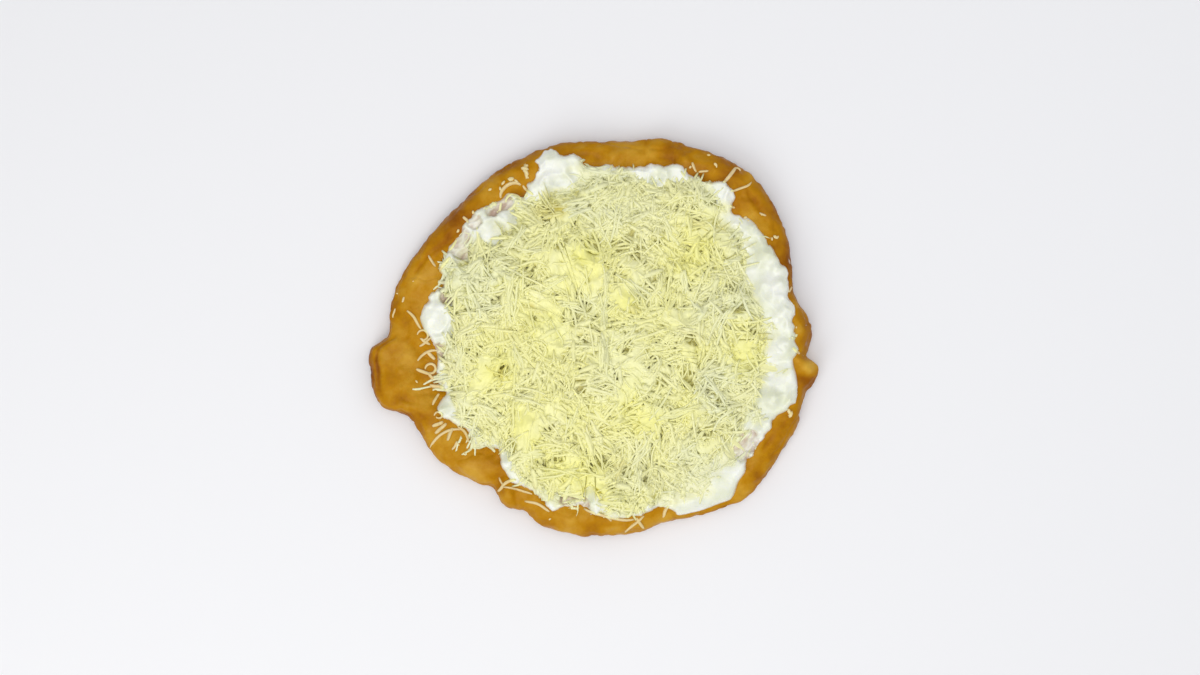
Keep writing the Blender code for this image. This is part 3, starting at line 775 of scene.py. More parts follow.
shredding = {
    "seed": 9, "rounds": 60,
    "spill": 0.0005, "leastRoom": 0.00004,  # how far shreds may rise past the heap, and the least room
    "sag": 0.00024, "settleSteps": 20, "lift": 0.55, "sunk": 0.00022,
    "parts": 4, "sides": (-0.35, 0, 0.35),  # how finely a shred raises the map along and across it
    "wave": 0.15, "mostRoll": 0.6, "curlyTurn": (2.5, 5.0), "taper": 0.45, "fullness": 4,
    # near the heap's edge shreds are shorter, and some of them lie along it
    "edge": (0.3, 0.5), "edgeShorter": 0.4, "edgeShare": 0.4, "edgeStray": 0.5,
    "warp": 0.0030, "warpSize": 0.0060, "bareEdge": 0.35,  # how the borders of all spots wander
    "raggedSize": 0.0080, "heapRagged": 0.16, "fringeRagged": 0.003,
    "clump": 0.0020, "clumpSize": 0.015,  # lumps of the heap's surface
    "riseFade": (0.25, 0.3), "lumpFade": (0.4, 0.5), "waySoftening": 6,
    "mound": 0.0012, "hollowDepth": 0.0010, "hollowGrowth": 1.15, "hollowEdge": 0.8,
    "hollowBare": 0.78, "hollowBareEdge": 0.5,  # how thinly shreds lie in a hollow
    "bareDrop": 0.85, "bareSoftening": 40,  # how the heap sinks towards bare cream
    "thinning": (0.40, 0.78),  # shares of cover between which the heap proper fades out over the cream
    # a thin layer, which begins between these insets from the cream's edge
    "fringe": (-0.0004, 0.0030), "fringeShare": 0.6, "fringeHeight": 0.0009,
    "flowSize": 0.020,  # over this distance neighbouring shreds run alike
    "crossing": 0.25,  # share of them that follow a second flow
    "blotchSize": 0.016, "spotSize": 0.009,  # of paler and of yellower patches
    "deepReach": 0.0036, "deepPaintedShade": 0.16,  # shreds this far under the heap's surface get this much painted shade
    "corePaintedShade": 0.42, "strandPaintedShade": 0.5,  # painted shade of the core under loose cheese, and a shred's share of the painted shade
    "matteSize": 0.010, "matted": 0.10, "matteShare": 0.35,
    "matteNoise": 0.9, "matteMat": 1.2, "matteHollow": 1.8, "matteEdge": 0.35, "matteFade": (0.6, 0.35),
    # what spots, noise, the heap's thin edge and a shred's own random tint add to its colour; lessDeep makes
    # places deep under the heap's surface less creamy, which warms the painted shade there
    "richness": {"least": 0.25, "spots": 0.55, "noise": 0.35, "own": 0.20},
    "creaminess": {"spots": 0.65, "edge": 0.6, "noise": 0.5, "own": 0.25, "lessDeep": 0.6},
    # the painted shade in the middle of a spot in a hollow, and the shares of cover over which the heap's
    # thin edge is tinted
    "paintedShadeSpot": 0.8, "edgeTint": (0.3, 0.6),
    "grainSize": 0.0009, "bump": 0.00012,
    "butterPasses": 50,  # softening of the yellow tint that the shreds lend the cream beside them
    "pale": fromScreen(251, 249, 189), "rich": fromScreen(251, 247, 147),
    "creamy": fromScreen(241, 243, 202),
    # a dark olive yellow, the painted shade of gaps and hollows between shreds, and the crust's colour that
    # thin shreds take
    "paintedShade": fromScreen(214, 198, 78), "bare": fromScreen(224, 182, 128),
    "bundleMilk": 0.22, "bundleWidth": (0.0009, 0.0016),
    "bundleLength": (0.6, 1.1), "bundleStray": 0.16, "bundleCurl": 0.35,
    # all places, radii, spreads and lengths from here on are in millimetres
    # x, y, radius: bare cream
    "bareSpots": (
        (-17, 85, 12), (-26, 76, 8), (-56, 55, 9), (-51, 50, 6), (-42, 59, 7.5), (-66, 39, 5), (-71, 49, 8),
        (-79, 13, 12), (-78, 5, 10), (-78, -17, 6), (-75, -31, 7.5), (-73, -39, 7), (-48, -62, 7),
        (-2, -80, 6), (-15, -87, 7), (33, 84, 11), (26, 80, 6), (42, 82, 8), (65, 72, 6), (66, 59, 5.5),
        (80, 55, 7.5), (85, 39, 9), (91, 32, 8.5), (95, 20, 9), (97, 10, 8), (95, -7, 9), (98, -24, 10),
        (92, -31, 8), (90, -38, 6.5), (84, -47, 6), (80, 46, 5.5), (83, 32, 7), (84, 23, 6.5), (87, 12, 6),
        (88, -4, 4), (87, -20, 4.5), (76, 41, 3), (77, 29, 3), (75, -54, 5), (74, -70, 9), (66, -80, 11),
        (51, -88, 10), (41, -90, 8), (28, -88, 7),
    ),
    # x, y, radius: matted clumps
    "mats": (
        (-7, 39, 10), (-25, 4, 8), (15, 19, 9), (29, -39, 9), (76, -6, 10), (70, -17, 7), (-2, -24, 4),
        (-34, -46, 9), (3, -66, 6), (3, -79, 7), (50, -52, 5), (-57, -16, 7), (-62, -31, 7), (37, 11, 6),
        (45, -7, 6), (18, -26, 8), (65, 47, 7), (-14, 62, 6), (20, 31, 5), (-66, 30, 6), (12, -86, 8),
        (56, 62, 6), (-38, 30, 6),
    ),
    # x, y, radius: hollows with dark gaps between the shreds
    "hollows": (
        (-54, 40, 3), (-73, 20, 4.5), (-48, 21, 3.5), (-27, 61, 5), (0, 46, 5), (13, 46, 4.5),
        (28, 26, 3.5), (37, 26, 3.5), (45, 38, 3), (47, 44, 3), (21, 41, 3.5), (17, 50, 3), (68, 26, 3.5),
        (74, 29, 3), (72, 15, 3.5), (55, 19, 3), (90, 1, 4.5), (-4, 16, 3), (-8, 20, 2), (-9, 9, 3),
        (-42, 3, 3.5), (1, 6, 3.5), (-8, -24, 4.5), (-19, -24, 3), (-5, -16, 2.5), (-21, -45, 2.5),
        (2, -46, 6), (-9, -50, 3.5), (-17, -59, 3), (-25, -60, 4), (4, -61, 3), (13, -64, 5), (27, -55, 3),
        (34, -51, 3), (30, -64, 3.5), (25, -69, 3.5), (55, -14, 3.5), (47, -21, 4), (56, -24, 5),
        (65, -29, 5), (35, -21, 3.5), (29, -12, 3.5), (83, -28, 3), (15, -4, 3.5), (49, -1, 3.5),
        (-48, -19, 1.5), (-43, -14, 1.5), (-57, -47, 3.5), (76, -42, 4), (71, -55, 4),
    ),
    # x, y, radius: yellower and milkier patches, and spots of painted shade, most of them in the hollows
    "richSpots": (
        (-7, 39, 12), (-24, 8, 11), (14, 18, 11), (28, -40, 11), (74, -5, 12), (70, -17, 8), (-46, -16, 10),
        (-34, -44, 10), (48, 40, 12), (-12, -66, 12), (3, -78, 8),
    ),
    "milkySpots": (
        (-60, 36, 20), (60, -24, 12), (0, 68, 16), (52, 18, 12), (76, -44, 14), (44, -58, 10),
        (-72, -6, 12), (76, 22, 14), (56, 70, 12), (-14, -78, 9),
    ),
    "paintedShadeSpots": (
        (-46, -17, 3), (-44, -15, 2), (-31, 15, 1.8), (20, 13, 1.8), (51, 56, 1.4), (21, 41, 1.8),
        (-42, 3, 2.2), (-25, 62, 5), (-17, 64, 4), (13, -64, 2.5), (49, -1, 2.2),
    ),
    # x, y, direction in degrees, how many, spread, length: bundles that lie on top
    "bundles": (
        (-41, 19, 90, 9, 3.0, 18), (6, 26, 92, 9, 1.3, 16), (5, 12, 90, 9, 1.3, 17),
        (5, -8, 88, 9, 1.6, 18), (-30, 42, 2, 5, 2.2, 12), (-52, 15, 3, 4, 1.5, 12),
        (-29, 59, -50, 6, 2.0, 13), (-10, 16, -14, 5, 2.0, 13), (18, 24, -42, 7, 3.0, 14),
        (53, 13, -55, 5, 1.5, 11), (70, 38, 12, 4, 1.5, 12), (12, 56, 84, 4, 1.5, 17),
        (42, -36, 20, 6, 2.0, 18), (26, -54, 55, 6, 3.0, 15), (-18, -67, 8, 6, 1.5, 22),
        (60, -26, -45, 4, 1.5, 15), (16, -2, 48, 5, 2.5, 15), (-66, -10, 82, 6, 2.5, 13),
        (-51, -37, -45, 5, 2.5, 14), (-32, -58, 15, 5, 2.0, 13), (10, -80, 0, 5, 2.0, 14),
        (-60, 18, 100, 6, 3.0, 13), (-74, -22, 10, 6, 5.0, 12), (-61, -44, 70, 6, 5.0, 9),
        (2, 83, 172, 6, 1.2, 16), (-12, -42, 70, 5, 2.0, 14), (-34, -30, -20, 5, 2.5, 13),
        (22, -70, 100, 6, 2.5, 14), (38, 52, -70, 5, 2.5, 13), (-20, 27, 35, 5, 2.5, 13),
        (62, 6, 70, 5, 2.5, 13), (-38, 47, 60, 5, 2.5, 13), (-8, 62, 20, 5, 2.5, 13),
        (36, -66, -25, 5, 2.0, 14), (45, 28, 100, 5, 2.5, 12), (-63, 3, 20, 5, 2.5, 12),
        (-38, -8, 110, 5, 2.5, 13), (-60, -48, 75, 8, 4.0, 8), (-56, -53, 20, 6, 3.0, 8),
        (-52, -51, 130, 6, 3.0, 8),
    ),
}
# single shreds on the crust, in millimetres and radians: start, end, how far the way turns, width, thickness
whiskers = (
    (-93.0, 13.7, -86.0, 4.5, -0.2, 0.9, 0.5), (-86.5, -0.5, -82.0, -3.7, 0.3, 0.9, 0.5),
    (-87.1, -4.5, -81.3, -0.2, 0.2, 0.8, 0.5), (-88.5, -10.7, -79.0, -5.6, -1.2, 0.9, 0.5),
    (-83.6, -6.8, -79.7, -11.0, 0.1, 1.3, 0.5), (-88.7, -15.8, -82.1, -18.4, 0.1, 1.1, 0.6),
    (-82.8, -18.0, -80.5, -21.0, 0.3, 1.1, 0.5), (-82.2, -23.8, -75.1, -25.1, 0.2, 1.5, 0.8),
    (-80.5, -33.5, -77.5, -28.0, -0.5, 0.9, 0.5), (-80.4, -44.2, -75.1, -42.0, 0.2, 1.5, 0.5),
    (-79.0, -47.8, -73.6, -42.8, 0.3, 1.9, 0.4), (-73.0, -51.2, -70.5, -45.0, 0.1, 1.6, 0.5),
    (-82.9, -53.5, -66.7, -44.2, -1.3, 0.9, 0.5), (-66.9, -44.2, -62.0, -51.6, -1.1, 0.9, 0.5),
    (-70.5, -55.9, -67.8, -51.6, 0.2, 0.8, 0.4), (-100.6, 9.9, -99.5, 14.5, -0.5, 0.7, 0.3),
    (-95.6, 17.6, -94.8, 20.3, 0.3, 0.7, 0.3), (-48.6, -76.4, -39.0, -69.8, -0.3, 1.1, 0.5),
    (-47.4, -69.8, -44.8, -74.0, 0.4, 0.7, 0.4), (-45.2, -74.0, -30.7, -77.6, -0.3, 0.8, 0.4),
    (-34.3, -80.8, -21.8, -86.0, -0.4, 0.9, 0.4), (-5.0, -86.0, 19.5, -91.3, 0.8, 1.0, 0.5),
    (6.0, -88.0, 8.6, -91.2, 0.1, 0.8, 0.4), (15.4, -97.2, 24.8, -88.6, -0.2, 0.9, 0.5),
    (21.1, -89.7, 24.8, -95.4, 0.1, 1.0, 0.5), (34.2, -89.7, 36.8, -83.8, 0.4, 1.1, 0.5),
    (-34.5, 86.4, -33.2, 79.0, 0.2, 1.5, 0.5), (-35.5, 75.5, -30.3, 70.6, 0.2, 0.9, 0.4),
    (-47.2, 71.4, -37.9, 77.5, -2.5, 1.3, 0.5), (-43.3, 69.5, -36.4, 69.0, -3.6, 0.8, 0.4),
    (-82.5, 40.9, -78.9, 35.3, 0.3, 0.8, 0.4), (-64.8, 60.2, -62.5, 57.0, -0.4, 1.0, 0.4),
    (-76.9, 32.9, -71.3, 40.0, -0.3, 1.1, 0.5), (64.5, 76.9, 71.0, 84.8, 0.2, 1.2, 0.5),
    (70.8, 84.7, 73.2, 83.4, -1.4, 0.8, 0.4), (68.4, 72.3, 78.6, 76.9, 1.1, 0.8, 0.4),
    (48.7, 87.0, 50.8, 82.2, 0.3, 0.9, 0.4), (52.0, 82.3, 56.8, 82.9, -0.2, 0.8, 0.4),
    (67.7, 65.6, 70.2, 64.7, 0.2, 0.8, 0.4), (82.5, 62.1, 85.7, 60.7, 0.2, 0.7, 0.3),
    (97.0, 22.6, 99.0, 25.4, 0.2, 0.8, 0.4), (98.4, -5.0, 102.2, -8.2, 0.3, 1.0, 0.5),
    (-72.0, 43.0, -68.0, 48.5, 0.6, 0.8, 0.4),
)
# small closed loops, in millimetres: middle, radius, width
rings = (
    (-85.2, 1.4, 2.1, 0.7), (-81.7, -15.5, 2.2, 0.9), (-77.3, -38.5, 1.6, 0.7),
)
# crumbs on the crust, in millimetres: middle, size, which is a little under half the length
crumbs = (
    (57.2, 91.0, 0.9), (60.3, 86.0, 1.1), (61.0, 85.2, 0.7), (48.0, 84.7, 0.8), (84.0, 61.3, 0.7),
    (90.2, 50.2, 1.2), (88.6, 49.0, 0.9), (91.4, 49.8, 0.7), (75.5, 59.7, 0.9), (76.8, 58.3, 0.7),
    (97.2, -36.8, 1.7), (97.9, -38.7, 1.8), (-51.8, 73.5, 1.0), (-34.4, 83.8, 1.8), (-33.8, 82.2, 2.1),
    (-33.6, 80.6, 1.7), (-33.9, 85.2, 1.1), (-33.2, 79.4, 1.1), (-88.5, -22.0, 0.8), (-46.6, 74.2, 1.2),
    (-45.0, 76.9, 1.4), (-41.4, 78.6, 1.6), (-38.6, 77.8, 1.2), (-60.0, 62.0, 0.9), (-67.5, 53.0, 0.9),
    (-90.0, 28.0, 0.5), (-98.5, 22.0, 0.5), (70.0, 87.0, 0.5), (100.5, 5.0, 0.6), (-22.0, -90.5, 0.6),
)
strayShred = {
    "steps": 14, "roll": 0.25, "taper": 0.5, "raised": 0.00018,
    "widening": 1.4, "widest": 0.0017,
    "bareness": 0.62, "creamFade": 0.0008,  # the crust's share of the colour, and the cream that ends it
    "ringHeading": 2.0, "ringTurn": 0.86, "ringThickness": 0.5,
}


def mapPlaces(grid):
    # x and y of every cell of a map
    columns = np.arange(round(grid["size"][0] / grid["cell"]) + 1) * grid["cell"] + grid["low"][0]
    rows = np.arange(round(grid["size"][1] / grid["cell"]) + 1) * grid["cell"] + grid["low"][1]
    return np.meshgrid(columns, rows)


def readMap(grid, values, x, y):
    # straight-line mix of the four map values round a place
    px = np.clip((x - grid["low"][0]) / grid["cell"], 0, values.shape[1] - 1.001)
    py = np.clip((y - grid["low"][1]) / grid["cell"], 0, values.shape[0] - 1.001)
    ix, iy = px.astype(int), py.astype(int)
    fx, fy = px - ix, py - iy
    near = values[iy, ix] * (1 - fx) + values[iy, ix + 1] * fx
    far = values[iy + 1, ix] * (1 - fx) + values[iy + 1, ix + 1] * fx
    return near * (1 - fy) + far * fy


def groundAt(name, x, y):
    # the fine map of that name, read at a place
    return readMap(ground, ground[name], x, y)


def solidHeights(node, x, y):
    # looks straight down on a solid at each place of a coarse map, and gives 0 beside it
    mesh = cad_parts[node].data
    tree = BVHTree.FromPolygons([v.co for v in mesh.vertices], [p.vertices for p in mesh.polygons])
    down = Vector((0, 0, -1))
    hits = [tree.ray_cast(Vector((a, b, 1)), down)[0] for a, b in zip(x.ravel(), y.ravel())]
    return np.array([hit.z if hit else 0 for hit in hits]).reshape(x.shape)


def inMillimetres(spots, growth=1):
    # spots that are set in millimetres, in metres
    return [(x / 1000, y / 1000, radius * growth / 1000) for x, y, radius in spots]


def makeMaps():
    # target, the heap's surface, is the cream or crust below, plus what the solid heap rises above it, plus
    # lumps and mounds, less hollows; outside the solid a thin layer of shreds runs on to the cream's edge;
    # cover is how thickly shreds lie, from 0 on bare cream to 1, and matte how far they stick together
    s, seed = shredding, heap["seed"]
    coarseX, coarseY = mapPlaces(heap)
    solid = solidHeights("grated_cheese", coarseX, coarseY)
    covered = solid > 0
    below = np.maximum(breadTop(coarseX, coarseY), creamTop(coarseX, coarseY))
    rise = softened(np.where(covered, solid - below, 0), heap["softening"])
    share = softened(covered.astype(float), heap["shareSoftening"])
    x, y = mapPlaces(ground)
    theta, away = np.arctan2(y, x), np.hypot(x, y)
    inside = away < atAngle(bread["outline"], theta)
    base = np.where(inside, np.maximum(breadSurface(x, y), creamTop(x, y)), 0)
    share = readMap(heap, share, x, y)
    ground.update({"x": x, "y": y, "base": base, "share": share})
    warpX, warpY = (s["warp"] * levelNoise(x, y, s["warpSize"], 3, seed + more) for more in (50, 55))
    bare = fade(nearSpots(x + warpX, y + warpY, inMillimetres(s["bareSpots"])) ** 0.5, 0, s["bareEdge"])
    hollow = nearSpots(x + warpX / 2, y + warpY / 2, inMillimetres(s["hollows"], s["hollowGrowth"])) ** 0.5
    mat = nearSpots(x + warpX, y + warpY, inMillimetres(s["mats"])) ** 0.5
    ragged = levelNoise(x, y, s["raggedSize"], 3, seed + 20)
    low, high = s["thinning"]
    heaped = fade(share + s["heapRagged"] * ragged, low, high - low)
    low, high = s["fringe"]
    inset = atAngle(cream["outline"], theta) - away
    fringe = fade(inset + s["fringeRagged"] * ragged, low, high - low)
    ground["cover"] = np.maximum(heaped, s["fringeShare"] * fringe) * (1 - bare)
    slopeY, slopeX = np.gradient(softened(share, s["waySoftening"]))
    ground["along"] = np.arctan2(-slopeX, slopeY)
    fading = 1 - s["bareDrop"] * softened(bare, s["bareSoftening"])
    rise = readMap(heap, rise, x, y) * fade(share, *s["riseFade"]) * fading
    lumps = s["clump"] * levelNoise(x, y, s["clumpSize"], 2, seed + 8) + s["mound"] * mat
    lumps = lumps - s["hollowDepth"] * fade(hollow, 0, s["hollowEdge"])
    layer = s["fringeHeight"] * fringe * (1 - bare)
    ground["target"] = base + rise + layer + lumps * fade(share, *s["lumpFade"])
    noise = levelNoise(x, y, s["matteSize"], 2, seed + 60)
    matting = s["matted"] + s["matteNoise"] * noise + s["matteMat"] * mat - s["matteHollow"] * hollow
    ground["matte"] = fade(matting, 0, s["matteEdge"]) * (1 - bare) * fade(share, *s["matteFade"])
    ground["cover"] = ground["cover"] * (1 - s["hollowBare"] * fade(hollow, 0, s["hollowBareEdge"]))
    ground["butter"] = softened(ground["cover"], s["butterPasses"])
    ground["density"] = ground["cover"] * (1 - s["matteShare"] * ground["matte"])
    for name, more in (("flow", 12), ("crossFlow", 70)):
        ground[name] = math.pi * levelNoise(x, y, s["flowSize"], 1, seed + more)


def combed(x, y):
    # ridges, 1 - 2|noise|, drawn out along each of four ways, and their mean, weighted by how nearly the
    # flow runs that way: |cos|^power of the angle between them
    h, flow = heap, groundAt("flow", x, y)
    total, whole = 0, 0
    for number in range(h["combedWays"]):
        way = number * math.pi / h["combedWays"]
        c, s = math.cos(way), math.sin(way)
        weight = np.abs(np.cos(flow - way)) ** h["combedPower"]
        along, across = (x * c + y * s) / h["combedStretch"], y * c - x * s
        ridges = 1 - 2 * np.abs(levelNoise(along, across, h["combedSize"], 2, h["seed"] + 80 + number))
        total, whole = total + weight * ridges, whole + weight
    return total / whole


def coreHeight(x, y):
    # the heap's surface less a depth that is small under matted cheese, plus combed ridges, but never lower
    # than a little under the cream or crust
    depth = heap["looseDepth"] + (heap["matteDepth"] - heap["looseDepth"]) * groundAt("matte", x, y)
    deep = groundAt("target", x, y) - depth + heap["combed"] * combed(x, y)
    return np.maximum(deep, groundAt("base", x, y) - heap["coreSunk"])


def cheeseTints(x, y, z, tint):
    # richness, creaminess and painted shade at a place: bell curves about the spots, plus noises and a share
    # of the tint; painted shade is at least the share of a set depth that the place lies under the heap's
    # surface, and that depth also takes creaminess away
    s = shredding
    sums = []
    for name in ("richSpots", "milkySpots", "paintedShadeSpots"):
        spots = inMillimetres(s[name])
        sums.append(sum(np.exp(-((x - a) ** 2 + (y - b) ** 2) / r**2) for a, b, r in spots))
    rich, milky, paintedShade = sums
    spots = levelNoise(x, y, s["spotSize"], 2, s["seed"] + 31)
    blotch = levelNoise(x, y, s["blotchSize"], 2, s["seed"] + 30)
    heaped = fade(groundAt("share", x, y), *s["edgeTint"])
    deep = np.clip((groundAt("target", x, y) - z) / s["deepReach"], 0, 1)
    mix = s["richness"]
    richness = mix["least"] + mix["spots"] * rich + mix["noise"] * spots + mix["own"] * (tint - 0.5)
    mix = s["creaminess"]
    creaminess = mix["spots"] * milky + mix["edge"] * (1 - heaped) + mix["noise"] * blotch
    creaminess = (creaminess + mix["own"] * (tint - 0.5)) * (1 - mix["lessDeep"] * deep)
    # painted shade: the greater of the hollows' spots and the depth under the heap's surface
    paintedShade = np.maximum(s["paintedShadeSpot"] * paintedShade, s["deepPaintedShade"] * deep)
    return tuple(np.clip(values, 0, 1) for values in (richness, creaminess, paintedShade))


def makeCore(material):
    # rings out to the farthest place in each direction that has enough cover, at coreHeight, and under them
    # rings in the cream, one for each of its shares
    h = heap
    theta = directions(h["coreDirections"])
    reach = np.linspace(*h["reach"])[:, None]
    covered = groundAt("cover", *fromMiddle(reach, theta)) > h["leastCover"]
    edge = np.where(covered, reach, 0).max(0)
    x, y = fromMiddle(np.linspace(h["innermost"], 1, h["coreRings"])[:, None] * edge, theta)
    top = np.stack([x, y, coreHeight(x, y)], -1)
    richness, creaminess, paintedShade = cheeseTints(x, y, top[..., 2], 0.5)
    # more painted shade on the core where the cheese lies loose, so that the gaps between the shreds look
    # dark
    paintedShade = np.maximum(paintedShade, shredding["corePaintedShade"] * (1 - groundAt("matte", x, y)))
    x, y = fromMiddle(np.array(h["underShares"])[:, None] * edge, theta)
    under = np.stack([x, y, groundAt("base", x, y) - h["underDepth"]], -1)
    mesh = closedSkin("heap_core", np.concatenate([top, under]))
    for name, values in (("richness", richness), ("creaminess", creaminess), ("paintedShade", paintedShade)):
        paint(mesh, name, np.concatenate([values, np.zeros(under.shape[:2])]).reshape(-1))
    paint(mesh, "bareness", np.zeros(len(mesh.vertices)))
    addPiece(mesh, material, "grated_cheese")


def shredPaths(centreX, centreY, length, heading, turn, wave, phase, steps):
    # the heading turns evenly from end to end with one slow wave on it, and equal steps follow it
    s = np.linspace(0, 1, steps + 1)
    middle = (s[1:] + s[:-1]) / 2
    way = heading[:, None] + turn[:, None] * (middle - 0.5)
    way = way + wave[:, None] * np.sin(fullTurn * middle + phase[:, None])
    step = (length / steps)[:, None]
    x = np.concatenate([0 * step, np.cumsum(np.cos(way) * step, 1)], 1)
    y = np.concatenate([0 * step, np.cumsum(np.sin(way) * step, 1)], 1)
    return x - x.mean(1, keepdims=True) + centreX[:, None], y - y.mean(1, keepdims=True) + centreY[:, None]


def settled(low, sag, steps):
    # a strand starts level with its highest support; in each step every place takes the mean of its two
    # neighbours less the sag, an end runs on straight less the sag, and none goes below its support
    z = np.repeat(low.max(1, keepdims=True), low.shape[1], 1)
    for _ in range(steps):
        z[:, 1:-1] = np.maximum(low[:, 1:-1], (z[:, :-2] + z[:, 2:]) / 2 - sag)
        z[:, 0] = np.maximum(low[:, 0], 2 * z[:, 1] - z[:, 2] - sag)
        z[:, -1] = np.maximum(low[:, -1], 2 * z[:, -2] - z[:, -3] - sag)
    return z


def cellOf(spot, axis):
    # number of the map column (axis 0) or row (axis 1) nearest to a place
    last = ground["height"].shape[1 - axis] - 1
    return np.clip(np.round((spot - ground["low"][axis]) / ground["cell"]).astype(int), 0, last)


def raiseGround(x, y, z, width):
    # every map cell that a strand covers comes up to the strand's top
    steps = x.shape[1] - 1
    along = np.linspace(0, steps, steps * shredding["parts"] + 1)
    whole = np.minimum(along.astype(int), steps - 1)
    part = along - whole
    fx, fy, fz = (v[:, whole] * (1 - part) + v[:, whole + 1] * part for v in (x, y, z))
    alongX, alongY = np.gradient(fx, axis=1), np.gradient(fy, axis=1)
    size = np.maximum(np.hypot(alongX, alongY), tiny)
    for side in shredding["sides"]:
        offset = side * width[:, None]
        column = cellOf(fx - alongY / size * offset, 0)
        row = cellOf(fy + alongX / size * offset, 1)
        np.maximum.at(ground["height"], (row, column), fz)


def drawnPlaces(kind, count, draw):
    # middle, length, heading, turn, width and thickness of each strand: a cell's chance is its room under
    # the heap's surface, squared, times the density; headings stray from the flow, or from the edge's way
    s = shredding
    room = np.clip(ground["target"] - ground["height"] + s["spill"], s["leastRoom"], None) ** 2
    room = room * ground["density"]
    cells = draw.choice(room.size, count, p=(room / room.sum()).ravel())
    here = {name: ground[name].ravel()[cells] for name in ("x", "y", "share", "crossFlow", "flow", "along")}
    edge = 1 - fade(here["share"], *s["edge"])
    length = draw.uniform(*kind["length"], count) * (1 - s["edgeShorter"] * edge)
    flow = np.where(draw.random(count) < s["crossing"], here["crossFlow"], here["flow"])
    heading = flow + draw.normal(0, kind["stray"], count)
    edgeHeading = here["along"] + draw.normal(0, s["edgeStray"], count)
    heading = np.where(draw.random(count) < edge * s["edgeShare"], edgeHeading, heading)
    curly = draw.random(count) < kind["curlyShare"]
    curlyTurn = draw.choice([-1, 1], count) * draw.uniform(*s["curlyTurn"], count)
    turn = np.where(curly, curlyTurn, draw.normal(0, kind["curl"], count))
    width = draw.uniform(*kind["width"], count)
    return here["x"], here["y"], length, heading, turn, width, draw.uniform(*kind["thickness"], count)


def dropShreds(kind, draw, places):
    # strands at these places settle on what lies there, raise the map, and roll by a tilt plus a twist
    s, count = shredding, len(places[0])
    centreX, centreY, length, heading, turn, width, thickness = places
    wave, phase = draw.normal(0, s["wave"], count), draw.uniform(0, fullTurn, count)
    x, y = shredPaths(centreX, centreY, length, heading, turn, wave, phase, kind["steps"])
    z = settled(groundAt("height", x, y), s["sag"], s["settleSteps"])
    raiseGround(x, y, z + (thickness * s["lift"])[:, None], width)
    tilt, twist = np.clip(draw.normal(0, kind["roll"], (2, count)), -s["mostRoll"], s["mostRoll"])
    roll = tilt[:, None] + twist[:, None] * np.linspace(-0.5, 0.5, kind["steps"] + 1)
    return {
        "x": x, "y": y, "z": z + thickness[:, None] / 2, "roll": roll,
        "width": width, "thickness": thickness, "tint": draw.random(count), "milk": np.zeros(count),
    }


def shredMesh(name, batches, taper=shredding["taper"]):
    # a flat four-sided section is carried along each path: half its width along the side way and half its
    # thickness along the up way, both turned about the path by the roll, and drawn in towards the ends by
    # taper times |s|^fullness, where s runs from -1 to 1
    p = {key: np.concatenate([batch[key] for batch in batches]) for key in batches[0]}
    centre = np.stack([p["x"], p["y"], p["z"]], -1)
    along = np.gradient(centre, axis=1)
    along = along / np.linalg.norm(along, axis=-1, keepdims=True)
    side = np.stack([-along[..., 1], along[..., 0], 0 * along[..., 0]], -1)
    side = side / np.maximum(np.linalg.norm(side, axis=-1, keepdims=True), tiny)
    up = np.cross(along, side)
    c, s = np.cos(p["roll"])[..., None], np.sin(p["roll"])[..., None]
    side, up = side * c + up * s, up * c - side * s
    share = np.linspace(-1, 1, centre.shape[1])
    taper = (1 - taper * np.abs(share) ** shredding["fullness"])[None, :, None]
    across = side * p["width"][:, None, None] / 2 * taper
    rise = up * p["thickness"][:, None, None] / 2 * taper
    corners = np.stack([
        centre + across + rise, centre - across + rise, centre - across - rise, centre + across - rise,
    ], 2)
    count, sections = corners.shape[:2]
    numbers = np.arange(count), np.arange(sections - 1), np.arange(4)
    strand, section, corner = np.meshgrid(*numbers, indexing="ij")
    start = (strand * sections + section) * 4
    after = (corner + 1) % 4
    sides = np.stack([start + corner, start + after, start + 4 + after, start + 4 + corner], -1)
    first = np.arange(count)[:, None] * sections * 4
    last = first + (sections - 1) * 4
    caps = np.concatenate([first + np.arange(3, -1, -1), last + np.arange(4)])
    quads = np.concatenate([sides.reshape(-1, 4), caps])
    mesh = meshFrom(name, corners.reshape(-1, 3), quads, noTriangles, smooth=False)
    middles = (p[axis].mean(1) for axis in "xyz")
    richness, creaminess, paintedShade = cheeseTints(*middles, p["tint"])
    creaminess = np.clip(creaminess + p["milk"], 0, 1)
    # each shred takes a share of the painted shade
    tints = {"richness": richness, "creaminess": creaminess, "paintedShade": paintedShade * shredding["strandPaintedShade"]}
    for attribute, values in tints.items():
        paint(mesh, attribute, np.repeat(values, sections * 4))
    paint(mesh, "bareness", np.zeros(count * sections * 4))
    return mesh


